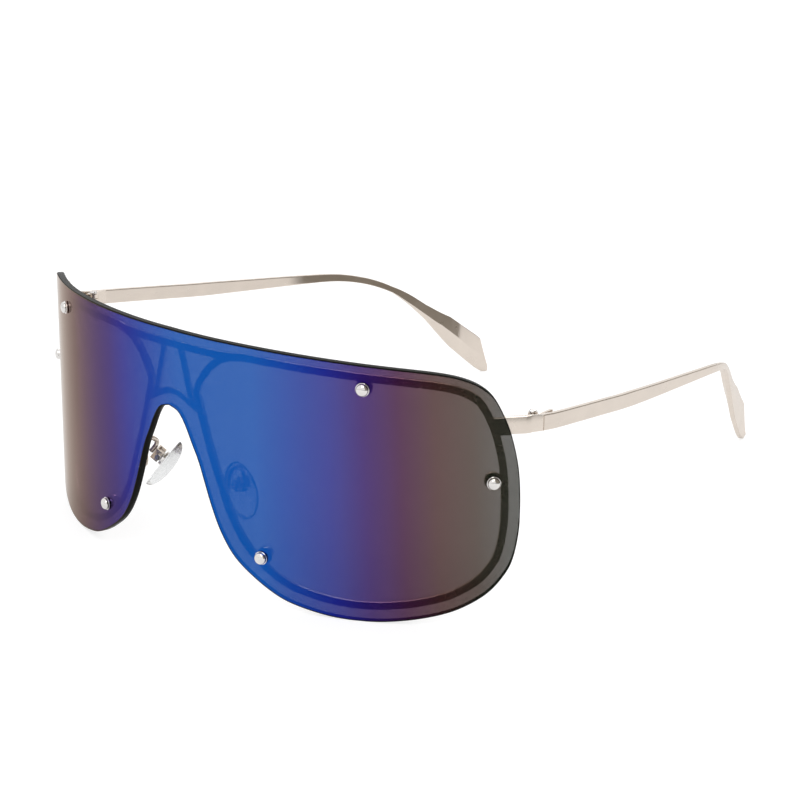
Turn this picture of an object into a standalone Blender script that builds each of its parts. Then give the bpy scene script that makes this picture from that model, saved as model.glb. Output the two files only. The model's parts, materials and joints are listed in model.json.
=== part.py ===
"""Shield sunglasses: one curved mirror lens screwed to a wire frame, with folding temples.

Units are metres. +Z is up, the lens faces -Y and the wearer's left is +X. The glasses
stand on the bottom of the lens and on both temple tips, and the origin is the middle of
the space they cover, at the height of the surface they stand on.

The front is laid out flat first. A flat point has s, its length along the lens from the
middle, d, its depth behind the lens front, and z, its height. wrap() then bends it round
the lens curve, so lens, frame and screws always share one curve.
"""

import math

import bmesh
import bpy
import numpy as np
from mathutils import Matrix, Vector

# Lens
LENS_RADIUS = 0.096
LENS_ARC = 0.1636
LENS_HEIGHT = 0.0594
LENS_THICKNESS = 0.0019

# Right half of the lens outline: share of half the arc, share of the height
LENS_OUTLINE_SHARES = (
    (0.0, 1.0), (0.245, 0.995), (0.416, 0.987), (0.587, 0.975), (0.734, 0.962),
    (0.807, 0.950), (0.855, 0.933), (0.893, 0.908), (0.924, 0.870), (0.952, 0.804),
    (0.974, 0.724), (0.993, 0.608), (1.0, 0.480), (0.998, 0.361), (0.983, 0.252),
    (0.956, 0.183), (0.917, 0.124), (0.862, 0.076), (0.807, 0.045), (0.733, 0.020),
    (0.659, 0.005), (0.605, 0.0), (0.556, 0.0), (0.491, 0.007), (0.412, 0.027),
    (0.355, 0.052), (0.287, 0.104), (0.222, 0.172), (0.178, 0.256), (0.147, 0.350),
    (0.122, 0.447), (0.103, 0.520), (0.082, 0.578), (0.059, 0.643), (0.034, 0.689),
    (0.0, 0.705),
)

# Frame behind the lens
RIM_INSET = 0.0031
RIM_WIDTH = 0.0017
RIM_DEPTH = 0.0010
BAR_DEPTH = 0.00095
LACE_WIDTH = 0.0014
ARCH_DEPTH = 0.00085
STRUT_DEPTH = 0.00075
LUG_RADIUS = 0.0019
LUG_DEPTH = 0.00090
WEB_DEPTH = 0.00080

# The rim follows the lens edge between these outline points, then its own nose side
RIM_FIRST_POINT = 1
RIM_LAST_POINT = 26
RIM_NOSE_SHARES = (
    (0.247, 0.222), (0.202, 0.315), (0.173, 0.411), (0.135, 0.550), (0.107, 0.672),
    (0.095, 0.728), (0.088, 0.767), (0.094, 0.803), (0.110, 0.839), (0.128, 0.871),
    (0.152, 0.902), (0.182, 0.926),
)
TOP_BAR_SHARES = ((0.23, 0.938), (0.10, 0.937), (0.0, 0.939))
NOSE_ARCH_SHARES = ((0.106, 0.695), (0.079, 0.715), (0.027, 0.749), (0.0, 0.755))
STRUT_SHARES = ((0.030, 0.932), (0.064, 0.755), (0.083, 0.712))

# Right lens screws, in shares of half the arc and of the height
SCREW_PLACE_SHARES = {"top": (0.587, 0.888), "side": (0.929, 0.552), "low": (0.304, 0.194)}
SCREW_HEAD_RADIUS = 0.00145
SCREW_HEAD_HEIGHT = 0.00085
SCREW_SHANK_RADIUS = 0.00060
SCREW_END = 0.0002
WASHER_RADIUS = 0.00160
WASHER_THICKNESS = 0.00030
NUT_RADIUS = 0.00150
NUT_THICKNESS = 0.00110

# Endpiece strip, brazed to the outside of the rim
ENDPIECE_Z = 0.0448
ENDPIECE_HEIGHT = 0.0038
ENDPIECE_THICKNESS = 0.0011
ENDPIECE_OVERHANG = 0.0034
ENDPIECE_BEND_RADIUS = 0.0022
ENDPIECE_RUN = 0.0038
ENDPIECE_STEP_SHARES = (0.35, 0.7, 1.0)

# Hinge
HINGE_OFFSET = 0.0024
HINGE_HEIGHT = 0.0033
BARREL_RADIUS = 0.00115
LEAF_THICKNESS = 0.0007
FRONT_LEAF_LENGTH = 0.0034
TEMPLE_LEAF_LENGTH = 0.0042
LEAF_HEIGHT = 0.0029
HINGE_SCREW_RADIUS = 0.00050
HINGE_HEAD_RADIUS = 0.00095
HINGE_HEAD_HEIGHT = 0.00045
SLOT_WIDTH = 0.00030
SLOT_DEPTH = 0.00020

# Temple, measured back from the hinge end, in from its straight line, and up
TEMPLE_REACH = 0.1297
TEMPLE_SET_IN = 0.0275
TEMPLE_LINE_Z = 0.0440
TEMPLE_THICKNESS = 0.0013
TEMPLE_END_HEIGHT = 0.0036
BLADE_HEIGHT = 0.0035
SHANK_HEIGHT = 0.0022
WAIST_HEIGHT = 0.0018
HEEL_HEIGHT = 0.0045
PADDLE_HEIGHT = 0.0091
TIP_HEIGHT = 0.0101
TIP_BACK_HEIGHT = 0.0092
BLADE_CHAMFER = 0.00025
OUTER_CROWN = 0.00030
INNER_RIDGE = 0.0010

# Centre line of the temple: shares of the reach, of the set-in and of the fall to the tip.
# It ends a little low, because the rise of the cut tip's end then brings the lower edge to
# the surface that the glasses stand on.
TEMPLE_LINE_SHARES = (
    (0.0, 0.0, 1.0), (0.037, 0.0, 0.984), (0.111, 0.030, 0.953), (0.188, 0.066, 0.920),
    (0.265, 0.103, 0.887), (0.380, 0.166, 0.846), (0.496, 0.238, 0.807),
    (0.573, 0.288, 0.780), (0.611, 0.316, 0.766), (0.650, 0.353, 0.747),
    (0.688, 0.409, 0.719), (0.726, 0.485, 0.679), (0.765, 0.571, 0.618),
    (0.803, 0.655, 0.531), (0.842, 0.734, 0.417), (0.880, 0.806, 0.297),
    (0.919, 0.874, 0.184), (0.957, 0.937, 0.075), (1.0, 1.0, -0.040),
)
BLADE_STATION_SHARES = (0.0, 0.30, 0.60, 0.70, 0.77, 0.845, 0.905, 0.97, 1.0)
TIP_SLANT = 0.0026
TIP_STEP_SHARES = (1.0, 0.5, 0.2)
TIP_END_HEIGHT = 0.0018
TIP_END_RISE = 0.0012
SECTIONS_PER_STEP = 2

# Inner facets: where along the temple the ridge starts, is full, leaves the lower edge, is
# level again, folds and ends, and how proud it stands at each. Its height on the blade, also
# a share, rises from where it leaves the lower edge to where it is level.
RIDGE_STATION_SHARES = (0.50, 0.575, 0.80, 0.88, 0.92, 1.0)
RIDGE_PROUD_SHARES = (0.0, 0.60, 0.60, 0.80, 1.0, 0.15)
RIDGE_HEIGHT_SHARES = (0.12, 0.50)
RIDGE_LEAST_CHAMFERS = 1.5
CROWN_STATION_SHARES = (0.55, 0.92)

# Nose pads
PAD_SCREW_SPREAD = 0.0133
PAD_SCREW_BACK = 0.0096
PAD_SCREW_Z = 0.0244
PAD_SPLAY = math.radians(26.0)
PAD_FLARE = math.radians(37.0)
PAD_WIDTH = 0.0074
PAD_LENGTH = 0.0134
PAD_THICKNESS = 0.0026
PAD_DROP = 0.0010
INSERT_WIDTH = 0.0044
INSERT_LENGTH = 0.0034
INSERT_THICKNESS = 0.0006
BOSS_WIDTH = 0.0015
BOSS_HEIGHT = 0.0018
BOSS_DEPTH = 0.0016
BOX_WALL = 0.00040
BOX_HEIGHT = 0.0028
BOX_DEPTH = 0.0019
PAD_SCREW_RADIUS = 0.00040
PAD_SCREW_HEAD_RADIUS = 0.00075
PAD_SCREW_HEAD_HEIGHT = 0.00035
ARM_RADIUS = 0.00055
ARM_FOOT_DROP = 0.0007
ARM_RISE = 0.0054
ARM_SET_BACK = 0.0026
ARM_KNEE_BACK_SHARE = 0.15
ARM_KNEE_RISE_SHARE = 0.65

# Clearances
SEAT_GAP = 0.00020
FIT_GAP = 0.00015
BUTT_GAP = 0.00030
OVERRUN = 0.0010

# Fineness of the facets
SLICE_STEP = 0.0040
ROUND_SIDES = 16
RIM_SIDES_PER_STEP = 2
WELD = 0.000001

ALONG_X = Vector((1, 0, 0))
ALONG_Y = Vector((0, 1, 0))
ALONG_Z = Vector((0, 0, 1))

HALF_ARC = LENS_ARC / 2
FRAME_MIDDLE = LENS_THICKNESS + SEAT_GAP + RIM_DEPTH / 2
FRAME_BACK = FRAME_MIDDLE + RIM_DEPTH / 2


def clear_scene():
    """Remove what a new file holds."""
    for thing in list(bpy.data.objects):
        bpy.data.objects.remove(thing, do_unlink=True)


def wrap(s, d, z):
    """Bend a flat point round the lens curve."""
    angle = s / LENS_RADIUS
    radius = LENS_RADIUS - d
    return Vector((radius * math.sin(angle), LENS_RADIUS - radius * math.cos(angle), z))


def smooth(points, steps, closed=False):
    """Catmull-Rom curve through the points, with the given steps from point to point."""
    points = np.array(points, float)
    if closed:
        ring = np.vstack([points[-1:], points, points[:2]])
    else:
        before = 2 * points[:1] - points[1:2]
        after = 2 * points[-1:] - points[-2:-1]
        ring = np.vstack([before, points, after])
    t = np.arange(steps)[:, None] / steps
    run = []
    for a, b, c, e in zip(ring, ring[1:], ring[2:], ring[3:]):
        bend = (2 * a - 5 * b + 4 * c - e) * t ** 2 + (3 * b - a - 3 * c + e) * t ** 3
        run.append(b + ((c - a) * t + bend) / 2)
    if not closed:
        run.append(points[-1:])
    return np.vstack(run)


def offset(points, distance, closed=False):
    """Move a flat curve sideways, to the right of its direction."""
    if closed:
        ahead, behind = np.roll(points, -1, axis=0), np.roll(points, 1, axis=0)
    else:
        ahead = np.vstack([points[1:], points[-1:]])
        behind = np.vstack([points[:1], points[:-1]])
    along = ahead - behind
    along = along / np.linalg.norm(along, axis=1)[:, None]
    return points + distance * np.stack([along[:, 1], -along[:, 0]], axis=1)


def both_halves(half):
    """Close a right half, drawn from the top middle to the bottom middle, with its mirror."""
    mirror = half[1:-1][::-1] * np.array([-1.0, 1.0])
    return np.vstack([half, mirror])


def flat_points(shares):
    """Shares of half the arc and of the lens height, as flat sizes."""
    return np.array(shares) * np.array([HALF_ARC, LENS_HEIGHT])


def lens_half():
    """Right half of the lens outline. It never dips below the surface it stands on."""
    half = smooth(flat_points(LENS_OUTLINE_SHARES), RIM_SIDES_PER_STEP)
    half[:, 1] = np.maximum(half[:, 1], 0.0)
    half[[0, -1], 0] = 0.0
    return half


def rim_line():
    """Closed centre line of the right rim: inside the lens edge, then up beside the nose."""
    inside = offset(flat_points(LENS_OUTLINE_SHARES), RIM_INSET)
    outer = inside[RIM_FIRST_POINT:RIM_LAST_POINT + 1]
    return smooth(np.vstack([outer, flat_points(RIM_NOSE_SHARES)]), RIM_SIDES_PER_STEP, True)


def rim_outside_at(z):
    """Length along the lens at which the rim's outer side, beside the temple, is at a height."""
    edge = offset(rim_line(), -RIM_WIDTH / 2, True)
    side = edge[edge[:, 0] > HALF_ARC / 2]
    side = side[np.argmax(side[:, 1]):np.argmin(side[:, 1])]
    return float(np.interp(-z, -side[:, 1], side[:, 0]))


def screw_places():
    """Names and flat places of the six lens screws."""
    places = {}
    for name, share in SCREW_PLACE_SHARES.items():
        s, z = flat_points(share)
        places[name + "_left"] = (s, z)
        places[name + "_right"] = (-s, z)
    return places


def circle(centre, radius, sides=ROUND_SIDES):
    """Points round a flat circle."""
    turn = np.arange(sides) * 2 * math.pi / sides
    return np.array(centre) + radius * np.stack([np.cos(turn), np.sin(turn)], axis=1)


def band(line, width):
    """Outline of a flat band along an open line."""
    return np.vstack([offset(line, width / 2), offset(line, -width / 2)[::-1]])


def mesh_of(thing):
    """Mesh of an object as its modifiers leave it, in world space, with loose caps welded."""
    bpy.context.view_layer.update()
    graph = bpy.context.evaluated_depsgraph_get()
    mesh = bpy.data.meshes.new_from_object(thing.evaluated_get(graph))
    mesh.transform(thing.matrix_world)
    form = bmesh.new()
    form.from_mesh(mesh)
    bmesh.ops.remove_doubles(form, verts=form.verts, dist=WELD)
    bmesh.ops.recalc_face_normals(form, faces=form.faces)
    form.to_mesh(mesh)
    form.free()
    return mesh


def scrap(thing):
    """Remove an object that has served."""
    bpy.data.objects.remove(thing, do_unlink=True)


def solid_object(mesh):
    """Put a mesh in the scene for a while, so that it can be cut or joined."""
    thing = bpy.data.objects.new("work", mesh)
    bpy.context.scene.collection.objects.link(thing)
    return thing


def combine(mesh, other, operation):
    """Cut, join or keep the common part of two closed meshes."""
    thing, tool = solid_object(mesh), solid_object(other)
    change = thing.modifiers.new("combine", "BOOLEAN")
    change.operation = operation
    change.object = tool
    result = mesh_of(thing)
    scrap(thing)
    scrap(tool)
    return result


def joined(meshes):
    """Union of closed meshes."""
    whole = meshes[0]
    for mesh in meshes[1:]:
        whole = combine(whole, mesh, "UNION")
    return whole


def flat_plate(loops, depth, middle):
    """Flat plate from an outline and its holes, standing upright at a depth."""
    curve = bpy.data.curves.new("outline", "CURVE")
    curve.dimensions = "2D"
    curve.fill_mode = "BOTH"
    curve.extrude = depth / 2
    for loop in loops:
        spline = curve.splines.new("POLY")
        spline.points.add(len(loop) - 1)
        for point, (s, z) in zip(spline.points, loop):
            point.co = (s, z, 0, 1)
        spline.use_cyclic_u = True
    thing = solid_object(curve)
    thing.rotation_euler = (math.pi / 2, 0, 0)
    thing.location = (0, middle, 0)
    mesh = mesh_of(thing)
    scrap(thing)
    return mesh


def wrapped(mesh):
    """Slice a flat plate across its length and bend it round the lens curve."""
    form = bmesh.new()
    form.from_mesh(mesh)
    bmesh.ops.dissolve_limit(form, angle_limit=math.radians(1), verts=form.verts,
                             edges=form.edges)
    count = int(HALF_ARC / SLICE_STEP)
    for index in range(-count, count + 1):
        geometry = form.verts[:] + form.edges[:] + form.faces[:]
        bmesh.ops.bisect_plane(form, geom=geometry, dist=WELD,
                               plane_co=(index * SLICE_STEP, 0, 0), plane_no=ALONG_X)
    bmesh.ops.triangulate(form, faces=form.faces)
    for vert in form.verts:
        vert.co = wrap(*vert.co)
    bent = bpy.data.meshes.new("bent")
    form.to_mesh(bent)
    form.free()
    return bent


def box(size, centre):
    """Box from its size and centre."""
    form = bmesh.new()
    bmesh.ops.create_cube(form, size=1, matrix=Matrix.Translation(centre)
                          @ Matrix.Diagonal((*size, 1)))
    mesh = bpy.data.meshes.new("box")
    form.to_mesh(mesh)
    form.free()
    return mesh


def cylinder(radius, low, high, axis=ALONG_Z, centre=(0, 0, 0), sides=ROUND_SIDES):
    """Cylinder from low to high along an axis through a centre."""
    form = bmesh.new()
    turn = ALONG_Z.rotation_difference(axis).to_matrix().to_4x4()
    lift = Matrix.Translation((0, 0, (low + high) / 2))
    bmesh.ops.create_cone(form, cap_ends=True, segments=sides, radius1=radius,
                          radius2=radius, depth=high - low,
                          matrix=Matrix.Translation(centre) @ turn @ lift)
    mesh = bpy.data.meshes.new("cylinder")
    form.to_mesh(mesh)
    form.free()
    return mesh


def turned(profile, sides=ROUND_SIDES):
    """Solid of revolution about Z from (radius, height) points, top to bottom."""
    mesh = bpy.data.meshes.new("profile")
    points = [(radius, 0, height) for radius, height in profile]
    closed = profile[0][0] > 0
    edges = [(i, i + 1) for i in range(len(points) - 1)]
    if closed:
        edges.append((len(points) - 1, 0))
    mesh.from_pydata(points, edges, [])
    thing = solid_object(mesh)
    spin = thing.modifiers.new("turn", "SCREW")
    spin.steps = sides
    spin.render_steps = sides
    spin.use_merge_vertices = True
    spin.merge_threshold = WELD
    result = mesh_of(thing)
    scrap(thing)
    return result


def wire(points, radius):
    """Round wire along a smooth path, with closed ends."""
    curve = bpy.data.curves.new("wire", "CURVE")
    curve.dimensions = "3D"
    curve.bevel_depth = radius
    curve.bevel_resolution = 2
    curve.use_fill_caps = True
    spline = curve.splines.new("POLY")
    spline.points.add(len(points) - 1)
    for point, place in zip(spline.points, points):
        point.co = (*place, 1)
    thing = solid_object(curve)
    mesh = mesh_of(thing)
    scrap(thing)
    return mesh


def loft(rings):
    """Skin over a run of closed rings with the same number of points, capped at both ends."""
    size = len(rings[0])
    points = [tuple(point) for ring in rings for point in ring]
    faces = [tuple(range(size))[::-1]]
    for row in range(len(rings) - 1):
        for i in range(size):
            j = (i + 1) % size
            low, high = row * size, (row + 1) * size
            faces.append((low + i, low + j, high + j, high + i))
    last = (len(rings) - 1) * size
    faces.append(tuple(range(last, last + size)))
    form = bmesh.new()
    mesh = bpy.data.meshes.new("loft")
    mesh.from_pydata(points, [], faces)
    form.from_mesh(mesh)
    bmesh.ops.recalc_face_normals(form, faces=form.faces)
    bmesh.ops.triangulate(form, faces=form.faces)
    form.to_mesh(mesh)
    form.free()
    return mesh


def mirrored(mesh):
    """The same piece for the wearer's right side."""
    other = mesh.copy()
    other.transform(Matrix.Diagonal((-1, 1, 1, 1)))
    other.flip_normals()
    return other


def moved(mesh, matrix):
    """A copy of a mesh, placed by a matrix."""
    copy = mesh.copy()
    copy.transform(matrix)
    return copy


def finish_material(name, colour, roughness, metallic):
    """Plain finish of one sub-part."""
    material = bpy.data.materials.new(name)
    material.use_nodes = True
    shader = material.node_tree.nodes["Principled BSDF"]
    shader.inputs["Base Color"].default_value = (*colour, 1)
    shader.inputs["Roughness"].default_value = roughness
    shader.inputs["Metallic"].default_value = metallic
    return material


SILVER = ((0.74, 0.69, 0.63), 0.22, 1.0)
BRIGHT = ((0.80, 0.79, 0.77), 0.12, 1.0)
FINISHES = {
    "lens": ((0.05, 0.13, 0.42), 0.06, 0.7),
    "frame": SILVER,
    "screw": BRIGHT,
    "hinge": ((0.70, 0.67, 0.62), 0.28, 1.0),
    "temple": SILVER,
    "pad": ((0.86, 0.88, 0.88), 0.18, 0.0),
    "insert": ((0.72, 0.72, 0.70), 0.30, 1.0),
}


def publish(collection, parent, name, mesh, finish, origin=(0, 0, 0)):
    """Name a sub-part, give it its finish and put its origin where it is placed from."""
    origin = Vector(origin)
    mesh.transform(Matrix.Translation(-origin))
    mesh.name = name
    mesh.materials.clear()
    mesh.materials.append(finish_material(name, *FINISHES[finish]))
    mesh.shade_smooth()
    mesh.set_sharp_from_angle(angle=math.radians(30))
    thing = bpy.data.objects.new(name, mesh)
    collection.objects.link(thing)
    thing.parent = parent
    thing.location = origin - Vector(parent.get("stands_at", (0, 0, 0)))
    return thing


def empty_at(collection, name, place, parent=None):
    """Empty that carries other objects, such as a joint's axis."""
    thing = bpy.data.objects.new(name, None)
    collection.objects.link(thing)
    thing["stands_at"] = tuple(place)
    if parent:
        thing.parent = parent
        thing.location = Vector(place) - Vector(parent["stands_at"])
    return thing


def lens_mesh():
    """Curved lens with its six screw holes."""
    loops = [both_halves(lens_half())]
    loops += [circle(place, SCREW_SHANK_RADIUS + FIT_GAP) for place in screw_places().values()]
    return wrapped(flat_plate(loops, LENS_THICKNESS, LENS_THICKNESS / 2))


def frame_mesh():
    """Both rims, the laced bridge between them and a lug at each screw, cut from one plate."""
    rim = rim_line()
    pieces = []
    for side in (1.0, -1.0):
        line = rim * np.array([side, 1.0])
        loops = [offset(line, RIM_WIDTH / 2, True), offset(line, -RIM_WIDTH / 2, True)]
        pieces.append(flat_plate(loops, RIM_DEPTH, FRAME_MIDDLE))
        strut = smooth(flat_points(STRUT_SHARES) * np.array([side, 1.0]), RIM_SIDES_PER_STEP)
        pieces.append(flat_plate([band(strut, LACE_WIDTH)], STRUT_DEPTH, FRAME_MIDDLE))
    for shares, width, depth in ((TOP_BAR_SHARES, RIM_WIDTH, BAR_DEPTH),
                                 (NOSE_ARCH_SHARES, LACE_WIDTH, ARCH_DEPTH)):
        half = smooth(flat_points(shares), RIM_SIDES_PER_STEP)
        line = np.vstack([half, half[:-1][::-1] * np.array([-1.0, 1.0])])
        pieces.append(flat_plate([band(line, width)], depth, FRAME_MIDDLE))
    for place in screw_places().values():
        line = rim * np.array([math.copysign(1, place[0]), 1.0])
        nearest = line[np.argmin(np.linalg.norm(line - np.array(place), axis=1))]
        web = band(np.array([place, nearest]), RIM_WIDTH)
        pieces.append(flat_plate([web], WEB_DEPTH, FRAME_MIDDLE))
        pieces.append(flat_plate([circle(place, LUG_RADIUS)], LUG_DEPTH, FRAME_MIDDLE))
    plate = joined(pieces)
    for s, z in screw_places().values():
        hole = cylinder(SCREW_SHANK_RADIUS + FIT_GAP, 0, FRAME_BACK + OVERRUN, ALONG_Y,
                        (s, 0, z))
        plate = combine(plate, hole, "DIFFERENCE")
    return wrapped(plate)


def at_screws(collection, parent, name, mesh, finish):
    """Six copies of a fastener that is drawn along +Z out of the lens front."""
    outward = Matrix.Rotation(math.pi / 2, 4, "X")
    for place_name, (s, z) in screw_places().items():
        turn = Matrix.Rotation(s / LENS_RADIUS, 4, "Z")
        place = Matrix.Translation(wrap(s, 0, z))
        copy = moved(mesh, place @ turn @ outward)
        publish(collection, parent, name + "_" + place_name, copy, finish, place.translation)


def lens_screw_mesh():
    """Low domed head and a shank through lens, frame and nut."""
    seat = 2 * FIT_GAP + WASHER_THICKNESS
    tip = -(FRAME_BACK + FIT_GAP + NUT_THICKNESS + SCREW_END)
    dome = [(SCREW_HEAD_RADIUS * math.sin(turn), seat + SCREW_HEAD_HEIGHT * math.cos(turn))
            for turn in np.linspace(0, math.pi / 2, 5)]
    shank = [(SCREW_SHANK_RADIUS, seat), (SCREW_SHANK_RADIUS, tip), (0, tip)]
    return turned(dome + shank)


def washer_mesh():
    """Thin collar between screw head and lens."""
    bore = SCREW_SHANK_RADIUS + FIT_GAP
    low, high = FIT_GAP, FIT_GAP + WASHER_THICKNESS
    ring = [(WASHER_RADIUS, high), (WASHER_RADIUS, low), (bore, low), (bore, high)]
    return turned(ring)


def nut_mesh():
    """Six-sided nut behind the frame lug."""
    high = -(FRAME_BACK + FIT_GAP)
    low = high - NUT_THICKNESS
    body = cylinder(NUT_RADIUS, low, high, sides=6)
    bore = cylinder(SCREW_SHANK_RADIUS + FIT_GAP, low - OVERRUN, high + OVERRUN)
    return combine(body, bore, "DIFFERENCE")


def endpiece_end():
    """Plan place where the left endpiece's bend ends and its straight run begins."""
    angle = (HALF_ARC + ENDPIECE_OVERHANG - SEAT_GAP) / LENS_RADIUS - bend_lead()
    start = wrap(angle * LENS_RADIUS, FRAME_MIDDLE, 0)
    across = ENDPIECE_BEND_RADIUS * (1 - math.sin(angle))
    back = ENDPIECE_BEND_RADIUS * math.cos(angle)
    return start.x + across, start.y + back, angle


def bend_lead():
    """Part of the overhang, as an angle on the lens curve, that the bend itself takes."""
    return ENDPIECE_BEND_RADIUS / LENS_RADIUS


def endpiece_rings():
    """Cross sections of the left endpiece from the rim, round its bend, to the hinge end."""
    top = ENDPIECE_Z + ENDPIECE_HEIGHT / 2
    low = ENDPIECE_Z - ENDPIECE_HEIGHT / 2
    half = ENDPIECE_THICKNESS / 2
    front, back = FRAME_MIDDLE - half, FRAME_MIDDLE + half
    end_x, end_y, angle = endpiece_end()
    s_top, s_low = rim_outside_at(top) + FIT_GAP, rim_outside_at(low) + FIT_GAP
    rings = [[wrap(s_top, front, top), wrap(s_top, back, top),
              wrap(s_low, back, low), wrap(s_low, front, low)]]
    first = max(s_top, s_low)
    for share in ENDPIECE_STEP_SHARES:
        s = first + share * (angle * LENS_RADIUS - first)
        rings.append([wrap(s, front, top), wrap(s, back, top),
                      wrap(s, back, low), wrap(s, front, low)])
    centre_x = end_x - ENDPIECE_BEND_RADIUS
    for turn in np.linspace(angle, math.pi / 2, 6)[1:]:
        out = Vector((math.sin(turn), -math.cos(turn), 0))
        middle = Vector((centre_x, end_y, 0)) + ENDPIECE_BEND_RADIUS * out
        rings.append(strip_ring(middle, out, half, top, low))
    end = Vector((end_x, end_y + ENDPIECE_RUN, 0))
    rings.append(strip_ring(end, ALONG_X, half, TEMPLE_LINE_Z + TEMPLE_END_HEIGHT / 2,
                            TEMPLE_LINE_Z - TEMPLE_END_HEIGHT / 2))
    return rings


def strip_ring(middle, out, half, top, low):
    """Four corners of an upright strip's section."""
    outer, inner = middle + out * half, middle - out * half
    return [Vector((outer.x, outer.y, top)), Vector((inner.x, inner.y, top)),
            Vector((inner.x, inner.y, low)), Vector((outer.x, outer.y, low))]


def hinge_place():
    """Middle of the left hinge's axis."""
    end_x, end_y, _ = endpiece_end()
    return Vector((end_x - HINGE_OFFSET, end_y + ENDPIECE_RUN + BUTT_GAP / 2, TEMPLE_LINE_Z))


def knuckle_levels():
    """Heights of the three knuckles about the hinge's middle, lowest first."""
    tall = (HINGE_HEIGHT - 2 * FIT_GAP) / 3
    low = -HINGE_HEIGHT / 2
    return [(low + i * (tall + FIT_GAP), low + i * (tall + FIT_GAP) + tall) for i in range(3)]


def hinge_leaf(direction, length, wanted):
    """Leaf plate with its knuckles, drawn about the hinge axis; direction is -1 or 1 along Y."""
    outer = HINGE_OFFSET - ENDPIECE_THICKNESS / 2 - FIT_GAP
    if direction > 0:
        outer = HINGE_OFFSET - TEMPLE_THICKNESS / 2 - FIT_GAP
    inner = outer - LEAF_THICKNESS
    reach = BARREL_RADIUS / 2 + length
    plate = box((LEAF_THICKNESS, reach, LEAF_HEIGHT),
                ((outer + inner) / 2, direction * (FIT_GAP + reach / 2), 0))
    sweep = cylinder(BARREL_RADIUS + FIT_GAP, -HINGE_HEIGHT, HINGE_HEIGHT)
    leaf = combine(plate, sweep, "DIFFERENCE")
    for index in wanted:
        low, high = knuckle_levels()[index]
        barrel = cylinder(BARREL_RADIUS, low, high)
        web = box((outer - SEAT_GAP, BARREL_RADIUS, high - low),
                  ((outer - SEAT_GAP) / 2, direction * BARREL_RADIUS / 2, (low + high) / 2))
        leaf = joined([leaf, barrel, web])
    bore = cylinder(HINGE_SCREW_RADIUS + FIT_GAP, -HINGE_HEIGHT, HINGE_HEIGHT)
    return combine(leaf, bore, "DIFFERENCE")


def slotted(mesh, radius, top):
    """Cut a driver slot across the top of a screw that is drawn along +Z."""
    slot = box((2 * radius + OVERRUN, SLOT_WIDTH, 2 * SLOT_DEPTH), (0, 0, top))
    return combine(mesh, slot, "DIFFERENCE")


def hinge_screw_mesh():
    """Slotted hinge screw, drawn about the middle of the hinge."""
    seat = HINGE_HEIGHT / 2 + FIT_GAP
    top = seat + HINGE_HEAD_HEIGHT
    tip = -HINGE_HEIGHT / 2
    profile = [(0, top), (HINGE_HEAD_RADIUS - SLOT_DEPTH, top),
               (HINGE_HEAD_RADIUS, top - SLOT_DEPTH), (HINGE_HEAD_RADIUS, seat),
               (HINGE_SCREW_RADIUS, seat), (HINGE_SCREW_RADIUS, tip), (0, tip)]
    return slotted(turned(profile), HINGE_HEAD_RADIUS, top)


def blade_heights():
    """Height of the temple blade at each of its stations."""
    return (TEMPLE_END_HEIGHT, BLADE_HEIGHT, SHANK_HEIGHT, WAIST_HEIGHT, WAIST_HEIGHT,
            HEEL_HEIGHT, PADDLE_HEIGHT, TIP_HEIGHT, TIP_BACK_HEIGHT)


def ridge_at(share):
    """How far the inner ridge stands proud, and its height on the blade as a share."""
    proud = INNER_RIDGE * np.interp(share, RIDGE_STATION_SHARES, RIDGE_PROUD_SHARES)
    height = np.interp(share, RIDGE_STATION_SHARES[2:4], RIDGE_HEIGHT_SHARES)
    return proud, height


def temple_ring(middle, out, share, top, low):
    """Ten-sided section of the blade: crowned outside, ridged inside, edges chamfered."""
    half = TEMPLE_THICKNESS / 2
    tall = top - low
    edge = min(BLADE_CHAMFER, tall / 4)
    crown = OUTER_CROWN * np.interp(share, CROWN_STATION_SHARES, (0.0, 1.0))
    proud, ridge = ridge_at(share)
    fold = low + max(ridge * tall, RIDGE_LEAST_CHAMFERS * edge)
    profile = [(half - edge, top), (half, top - edge), (half + crown, (top + low) / 2),
               (half, low + edge), (half - edge, low), (edge - half, low),
               (-half, low + edge), (-half - proud, fold), (-half, top - edge),
               (edge - half, top)]
    return [Vector((middle.x + out.x * far, middle.y + out.y * far, z)) for far, z in profile]


def temple_rings():
    """Sections of the left temple from its hinge end to the tip that it stands on."""
    line = smooth(TEMPLE_LINE_SHARES, SECTIONS_PER_STEP)
    slant = 1 - TIP_SLANT * np.array(TIP_STEP_SHARES) / TEMPLE_REACH
    slanted = [np.interp(slant, line[:, 0], line[:, k]) for k in range(3)]
    line = np.vstack([line[line[:, 0] < slant[0]], np.stack(slanted, 1), line[-1:]])
    end_x, end_y, _ = endpiece_end()
    start_y = end_y + ENDPIECE_RUN + BUTT_GAP
    plan = np.stack([end_x - TEMPLE_SET_IN * line[:, 1], start_y + TEMPLE_REACH * line[:, 0]], 1)
    along = np.gradient(plan, axis=0)
    along[0] = (0.0, 1.0)
    along = along / np.linalg.norm(along, axis=1)[:, None]
    tall = np.interp(line[:, 0], BLADE_STATION_SHARES, blade_heights())
    rings = []
    for place, way, share, up, height in zip(plan, along, line[:, 0], line[:, 2], tall):
        out = Vector((way[1], -way[0], 0))
        middle = Vector((place[0], place[1], 0))
        centre = TIP_HEIGHT / 2 + (TEMPLE_LINE_Z - TIP_HEIGHT / 2) * up
        past = max(0.0, 1 - (1 - share) * TEMPLE_REACH / TIP_SLANT)
        low = centre - height / 2 + TIP_END_RISE * past ** 2
        top = centre + height / 2 + (TIP_END_RISE + TIP_END_HEIGHT - height) * past
        rings.append(temple_ring(middle, out, share, top, low))
    return rings


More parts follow.
